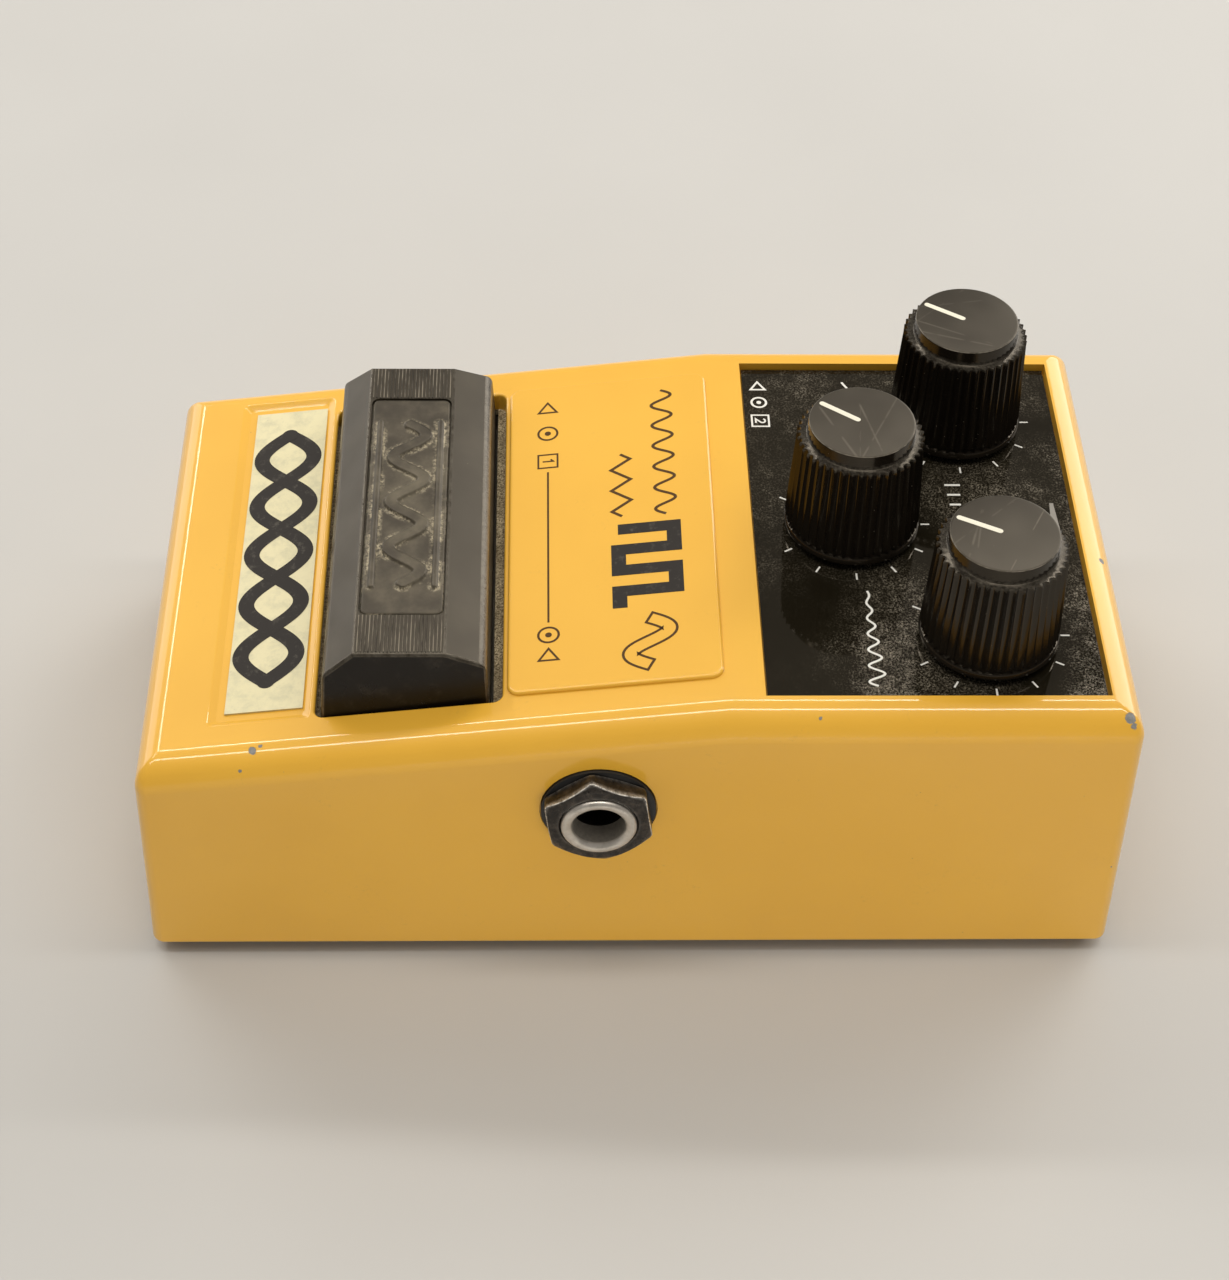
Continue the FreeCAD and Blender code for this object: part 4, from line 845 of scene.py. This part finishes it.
def badge():
    """Badge with a generic raised wave between two bars; dust collects round the relief and the rim."""
    low, high = corners("button_badge")
    corner, relief, relief_edge = 0.9, 0.38, 0.14
    rim, rim_drop, rim_dust = 0.25, 0.14, 0.12
    wave_half, bar_half, bar_reach, bar_side = 0.85, 0.35, 15.5, 4.0
    dust_place, dust_width = 0.15, 0.6
    centre, half = (low + high) / 2, (high - low) / 2
    wave_line = [Vector(point) for point in wave(-15.0, 15.0, 0.0, 2.1, 3.5, 24)]

    def distance_to_mark(x, y):
        curve = min((Vector((x, y)) - point).length for point in wave_line) - wave_half
        bars = hypot(max(abs(x) - bar_reach, 0.0), abs(abs(y) - bar_side)) - bar_half
        return min(curve, bars)

    columns, rows = 250, 64
    points, dust = [], []
    for row in range(rows + 1):
        for column in range(columns + 1):
            x, y = half.x * (2 * column / columns - 1), half.y * (2 * row / rows - 1)
            over_x, over_y = abs(x) - (half.x - corner), abs(y) - (half.y - corner)
            inside = corner - max(over_x, over_y)
            if over_x > 0 and over_y > 0:
                share = max(over_x, over_y) / hypot(over_x, over_y)
                x = copysign(half.x - corner + over_x * share, x)
                y = copysign(half.y - corner + over_y * share, y)
            gap = distance_to_mark(x, y)
            raised = min(max(0.5 - gap / relief_edge, 0.0), 1.0)
            sunk = max(1 - inside / rim, 0.0)
            points.append((centre.x + x, centre.y + y, high.z - rim_drop * sunk ** 2 + relief * raised))
            near_mark = max(0.0, 1 - abs(gap - dust_place) / dust_width) if gap > 0.0 else 0.0
            dust.append(max(near_mark, 1.0 if inside < rim_dust else 0.0))
    across = columns + 1
    faces = [(r * across + c, r * across + c + 1, (r + 1) * across + c + 1, (r + 1) * across + c)
             for r in range(rows) for c in range(columns)]
    mesh = mesh_of("badge_relief", points, faces)
    mesh.attributes.new("dust", "FLOAT", "POINT").data.foreach_set("value", dust)
    form = bmesh.new()
    form.from_mesh(mesh)
    walls = bmesh.ops.extrude_edge_only(form, edges=[edge for edge in form.edges if edge.is_boundary])["geom"]
    for item in walls:
        if isinstance(item, bmesh.types.BMVert):
            item.co.z = low.z * MM
    bmesh.ops.holes_fill(form, edges=[edge for edge in form.edges if edge.is_boundary], sides=0)
    form.to_mesh(mesh)
    form.free()
    finish_mesh(mesh, BADGE_BLACK, 60)
    riding(mesh, "button", "button_badge")


# ---------------- jacks and springs

# The jacks' threaded bushes: radius of the bore and outside; the nuts' turns about their axes on each side.
BUSH_BORE, BUSH_RADIUS = 3.25, 4.75
NUT_TURNS = {1: 38, -1: 17}


def side_place(node):
    """Local Z pointing out of the case's side along a jack's axis, from the middle plane."""
    centre = middle(node)
    side = 1 if centre.x > 0 else -1
    matrix = Matrix.Rotation(radians(90 * side), 4, "Y")
    return Matrix.Translation((0, centre.y, centre.z)) @ matrix, side


def reach_across(node):
    """Least and greatest distance of a node from the middle plane."""
    low, high = corners(node)
    return sorted((abs(low.x), abs(high.x)))


def bush(jack):
    """Threaded bush with a rolled lip; its bore attribute is 0.5 in the bore and 1 deep in it, where the
    material paints shade.
    """
    node = jack + "_bush"
    place, _ = side_place(node)
    inner_end, end = reach_across(node)
    inner, outer = 0.85, 0.60
    lip = arc((BUSH_BORE + inner, end - inner), inner, 180, 90, 9)
    lip += arc((BUSH_RADIUS - outer, end - outer), outer, 80, 0, 8)
    thread, height, pitch = [], end - 0.75, 0.4
    while height > inner_end + 2.0:
        thread += [(BUSH_RADIUS - 0.02, height), (BUSH_RADIUS - 0.24, height - pitch / 2)]
        height -= pitch
    collar_radius, collar_top, ring_foot = 6.3, inner_end + 1.2, end - 3.3
    profile = [(BUSH_BORE, inner_end), (BUSH_BORE, ring_foot - 0.1), (BUSH_BORE, ring_foot), *lip, *thread,
               (BUSH_RADIUS - 0.1, collar_top), (collar_radius, collar_top), (collar_radius, inner_end)]
    form = turned(profile, 96, place, around=True)
    made = new_piece(node + "_form", "case", BUSH_NICKEL, form, node, crease=35)
    centre = middle(node) * MM
    bore = made.data.attributes.new("bore", "FLOAT", "POINT")
    for vertex in made.data.vertices:
        if hypot(vertex.co.y - centre.y, vertex.co.z - centre.z) < (BUSH_BORE + 0.02) * MM:
            bore.data[vertex.index].value = 1.0 if abs(vertex.co.x) < (ring_foot - 0.05) * MM else 0.5


def nut(jack):
    """Chamfered hexagon nut; its wear attribute says how rubbed each ring of points is."""
    node = jack + "_nut"
    place, side = side_place(jack + "_bush")
    foot, top = reach_across(node)
    flats, steps, turn = 6.35, 96, radians(NUT_TURNS[side])
    chamfer_start, slope = flats - 0.15, tan(radians(30))
    bore = BUSH_RADIUS + 0.03

    def section(angle):
        """Radius and height, from the foot of the bore over the top to the foot of the flats."""
        sector = (angle - turn + pi / 6) % (pi / 3) - pi / 6
        reach = flats / cos(sector) - 0.05 * exp(-((abs(sector) - pi / 6) / 0.03) ** 2)
        drop = max(reach - chamfer_start, 0) * slope
        upper, lower = top - drop, foot + drop * 0.5
        return [(bore, foot), (bore, top - 0.25), (bore + 0.25, top), (chamfer_start - 0.05, top),
                (min(chamfer_start + 0.12, reach - 0.1), top - 0.07), (reach - 0.10, upper + 0.03),
                (reach - 0.03, upper - 0.03), (reach, upper - 0.12), (reach, (upper + lower) / 2),
                (reach, lower + 0.1), (reach - 0.08, lower), (chamfer_start - 0.2, foot)]

    angles = [tau * (step + 0.5) / steps for step in range(steps)]
    rings = [[place @ Vector((radius * cos(angle), radius * sin(angle), height))
              for angle, (radius, height) in zip(angles, ring)] for ring in zip(*map(section, angles))]
    mesh = mesh_of(node + "_form", *tube(rings, around=True))
    rubbed = (0.0, 0.0, 0.35, 0.1, 0.05, 0.45, 1.0, 0.55, 0.15, 0.4, 0.5, 0.0)
    wear = mesh.attributes.new("wear", "FLOAT", "POINT")
    wear.data.foreach_set("value", [worn for worn in rubbed for _ in angles])
    finish_mesh(mesh, NUT_BLACK, 38)
    riding(mesh, "case", node)


def return_springs():
    """Two coils under the button."""
    low, high = corners("return_springs")
    wire, coil, turns, per_turn, around = 0.35, 3.0, 8, 28, 8
    length, steps = high.z - low.z, turns * per_turn
    forms = []
    for x in SPRING_SIDES:
        rings = []
        for step in range(steps + 1):
            angle = tau * step / per_turn
            outward = Vector((cos(angle), sin(angle), 0))
            height = low.z + wire + (length - 2 * wire) * step / steps
            here = Vector((x, SPRING_Y, height)) + outward * coil
            rings.append([here + outward * wire * cos(tau * k / around)
                          + Vector((0, 0, wire * sin(tau * k / around))) for k in range(around)])
        forms.append(tube(rings))
    springs = new_piece("return_spring_coils", "case", SPRING_STEEL, several(forms),
                        "return_springs", crease=60)
    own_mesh(springs)


# ---------------- finishes of the CAD nodes

def smooth_by_angle(thing, angle):
    """Weld a mesh, join its flat triangles and shade it smooth, but for edges sharper than the angle."""
    name = "smooth_by_angle_%d" % angle
    tree = bpy.data.node_groups.get(name)
    if tree is None:
        tree = bpy.data.node_groups.new(name, "GeometryNodeTree")
        for direction in ("INPUT", "OUTPUT"):
            tree.interface.new_socket("Geometry", in_out=direction, socket_type="NodeSocketGeometry")
        start, end, weld, faces, edges, measured, compare = (tree.nodes.new(kind) for kind in (
            "NodeGroupInput", "NodeGroupOutput", "GeometryNodeMergeByDistance", "GeometryNodeSetShadeSmooth",
            "GeometryNodeSetShadeSmooth", "GeometryNodeInputMeshEdgeAngle", "FunctionNodeCompare"))
        faces.domain, edges.domain, compare.operation = "FACE", "EDGE", "LESS_EQUAL"
        weld.inputs["Distance"].default_value = WELD
        compare.inputs[1].default_value = radians(angle)
        for given, socket in ((start.outputs[0], weld.inputs["Geometry"]),
                              (weld.outputs["Geometry"], faces.inputs["Geometry"]),
                              (faces.outputs["Geometry"], edges.inputs["Geometry"]),
                              (measured.outputs["Unsigned Angle"], compare.inputs[0]),
                              (compare.outputs[0], edges.inputs["Shade Smooth"]),
                              (edges.outputs["Geometry"], end.inputs[0])):
            tree.links.new(given, socket)
    thing.modifiers.new("smooth_by_angle", "NODES").node_group = tree
    flat = thing.modifiers.new("joined_flats", "DECIMATE")
    flat.decimate_type, flat.angle_limit = "DISSOLVE", radians(0.4)
    weighted = thing.modifiers.new("weighted_normals", "WEIGHTED_NORMAL")
    weighted.keep_sharp, weighted.weight = True, 100


def dress(look, *names):
    """Give CAD nodes a material and smooth rounded faces."""
    for name in names:
        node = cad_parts[name]
        node.data.materials.clear()
        node.data.materials.append(look)
        smooth_by_angle(node, 17)


def dress_cad_nodes():
    """Finishes of the nodes that stay as the CAD made them."""
    def each(names, ending):
        return [name + ending for name in names]

    dress(yellow_enamel(), "enclosure")
    dress(glossy_plate(), "control_plate")
    dress(cream_label(), "front_label")
    dress(dusty_rubber_with_painted_light(), "button_seal")
    dress(floor_rubber(), "rubber_sheet")
    dress(MOULDED_BLACK, "battery_door", "dc_socket", "momentary_switch", "switch_plunger", "battery_snap",
          "jack_washers", *each(JACK_NAMES, "_body"))
    sheet = brushed_sheet("zinc_sheet", (0.62, 0.61, 0.57), 0.36)
    dress(sheet, "base_plate", "switch_bracket", "board_standoffs")
    dress(plated_metal("screw_plating", (0.56, 0.55, 0.52), 0.32), "base_screws", "bracket_screws",
          "door_hinge_pin", "pot_nuts", "pot_washers")
    dress(plated_metal("pot_can", (0.60, 0.60, 0.58), 0.30, 0.2), *each(KNOB_NAMES, "_pot"))
    dress(plated_metal("shaft_aluminium", (0.72, 0.72, 0.72), 0.28, 0.1), *each(KNOB_NAMES, "_pot_shaft"))
    dress(plated_metal("contact_bronze", (0.78, 0.60, 0.32), 0.30, 0.35), "dc_socket_pin",
          *each(JACK_NAMES, "_contacts"))
    dress(circuit_board(), "main_board", "control_board")
    for look, colour, roughness, names in (
            ("chip_moulding", (0.02, 0.02, 0.021), 0.45, ("delay_chip", "clock_chip", "amplifier_chips")),
            ("capacitor_sleeve", (0.02, 0.04, 0.16), 0.35, ("electrolytic_capacitors",)),
            ("dipped_film", (0.32, 0.06, 0.03), 0.30, ("film_capacitors",)),
            ("trimmer_blue", (0.03, 0.10, 0.38), 0.35, ("trimmers",)),
            ("resistor_lacquer", (0.55, 0.42, 0.24), 0.40, ("resistors",)),
            ("battery_jacket", (0.10, 0.11, 0.14), 0.30, ("battery",))):
        dress(hand_worn_plastic(look, colour, roughness, 0.1), *names)
    dress(wire_jacket("red_wire", (0.45, 0.02, 0.02)), "battery_leads", "supply_leads")
    dress(wire_jacket("grey_wire", (0.25, 0.25, 0.26)), "switch_leads", "jack_leads", "board_ribbon")
    dress(soft_foam(), "battery_foam")


# ---------------- stage

CAMERA_PLACE = Vector((248.80, -12.13, 277.85))
CAMERA_AZIMUTH, CAMERA_ELEVATION, CAMERA_ROLL = -2.346, 45.82, 1.686
WARM_WHITE = (1.0, 0.96, 0.90)


def set_axes(thing, place, axes):
    """Put a thing at a place in metres, with its local X, Y and Z along three directions."""
    thing.matrix_world = Matrix.Translation(place) @ Matrix(axes).transposed().to_4x4()


def camera():
    """The view from the pedal's right side and above."""
    azimuth, elevation, roll = map(radians, (CAMERA_AZIMUTH, CAMERA_ELEVATION, CAMERA_ROLL))
    backward = Vector((cos(elevation) * cos(azimuth), cos(elevation) * sin(azimuth),
                       sin(elevation)))
    right = Vector((0, 0, 1)).cross(backward).normalized()
    up = backward.cross(right)
    rolled = right * cos(roll) + up * sin(roll)
    upright = up * cos(roll) - right * sin(roll)
    data = bpy.data.cameras.new("camera")
    data.lens, data.sensor_width, data.clip_start = 73.63, 36, 0.01
    thing = in_scene("camera", data)
    set_axes(thing, CAMERA_PLACE * MM, (rolled, upright, backward))
    bpy.context.scene.camera = thing


def area_light(name, place, size, radiance, along=(0, 1, 0), mirrored=True):
    """Rectangular warm-white light aimed at the pedal, its first size lying along a direction."""
    data = bpy.data.lights.new(name, "AREA")
    data.shape, data.size, data.size_y = "RECTANGLE", *size
    data.energy, data.color = radiance * pi * size[0] * size[1], WARM_WHITE
    light = in_scene(name, data)
    away = (Vector(place) - Vector((0, 0, 0.03))).normalized()
    across = away.cross(Vector(along)).normalized()
    set_axes(light, place, (across.cross(away), across, away))
    light.visible_camera, light.visible_glossy = False, mirrored


def studio():
    """Pale plain floor, even warm-white surroundings and long soft lights overhead."""
    world = bpy.data.worlds.new("studio")
    world.use_nodes = True
    surroundings = world.node_tree.nodes["Background"].inputs
    surroundings["Color"].default_value, surroundings["Strength"].default_value = (*WARM_WHITE, 1), 0.26
    bpy.context.scene.world = world
    area_light("overhead_strip", (0.02, 0.0, 1.10), (1.6, 0.09), 12.0)
    area_light("back_strip", (-0.64, 0.0, 0.88), (1.6, 0.06), 15.0)
    area_light("front_strip", (-0.73, -0.57, 0.68), (0.9, 0.06), 12.0, along=(1, 0, 0))
    area_light("overhead_fill", (0.15, -0.05, 1.0), (0.5, 0.5), 1.9, mirrored=False)
    area_light("player_side_panel", (-0.75, -0.80, 0.22), (0.8, 0.45), 1.8)
    area_light("rear_panel", (-0.60, 0.62, 0.35), (0.7, 0.6), 3.2)
    area_light("low_fill", (0.25, 0.04, 0.040), (0.16, 0.05), 6.3, mirrored=False)
    bpy.context.scene.view_settings.view_transform = "Standard"

    look = Look("pale_floor", roughness=0.75)
    look.set(base_color=look.mix(look.noise(60, 3), (0.50, 0.495, 0.48), (0.54, 0.535, 0.52)))
    reach = 2.0 / MM
    mesh = mesh_of("floor", [(-reach, -reach, 0), (reach, -reach, 0), (reach, reach, 0), (-reach, reach, 0)],
                   [(0, 1, 2, 3)])
    mesh.materials.append(look.material)
    in_scene("floor", mesh)


# ---------------- the pedal

INK_CHARCOAL = ink("charcoal_ink", (0.022, 0.018, 0.015), 0.25)
INK_BROWN = ink("brown_ink", (0.075, 0.034, 0.006), 0.10)
INK_WHITE = ink("white_ink", (0.78, 0.77, 0.72), 0.10)
INK_IVORY = ink("ivory_ink", (0.80, 0.77, 0.64), 0.12)
INK_GREY = ink("grey_ink", (0.30, 0.28, 0.25), 0.2)
BUTTON_BLACK = button_plastic()
BUTTON_END = button_end_plastic()
BUTTON_EDGE = rubbed_edge_with_painted_highlight()
RIBS_DUST_AND_HIGHLIGHT = dusty_ribs_with_painted_highlight()
BADGE_BLACK = badge_plastic()
MOULDED_BLACK = hand_worn_plastic("moulded_black", (0.022, 0.022, 0.022), 0.42)
BUSH_NICKEL = bush_nickel()
NUT_BLACK = dark_nut()
SPRING_STEEL = plated_metal("spring_steel", (0.60, 0.60, 0.60), 0.30, 0.2)

camera()
studio()
dress_cad_nodes()
label_print()
panel_print()
plate_print()
for knob_name, knob_aim in zip(KNOB_NAMES, (-123, -126, -117)):
    knob(knob_name, knob_name + "_control", knob_aim)
button_shell()
button_fittings()
badge()
for jack_name in JACK_NAMES:
    bush(jack_name)
    nut(jack_name)
return_springs()
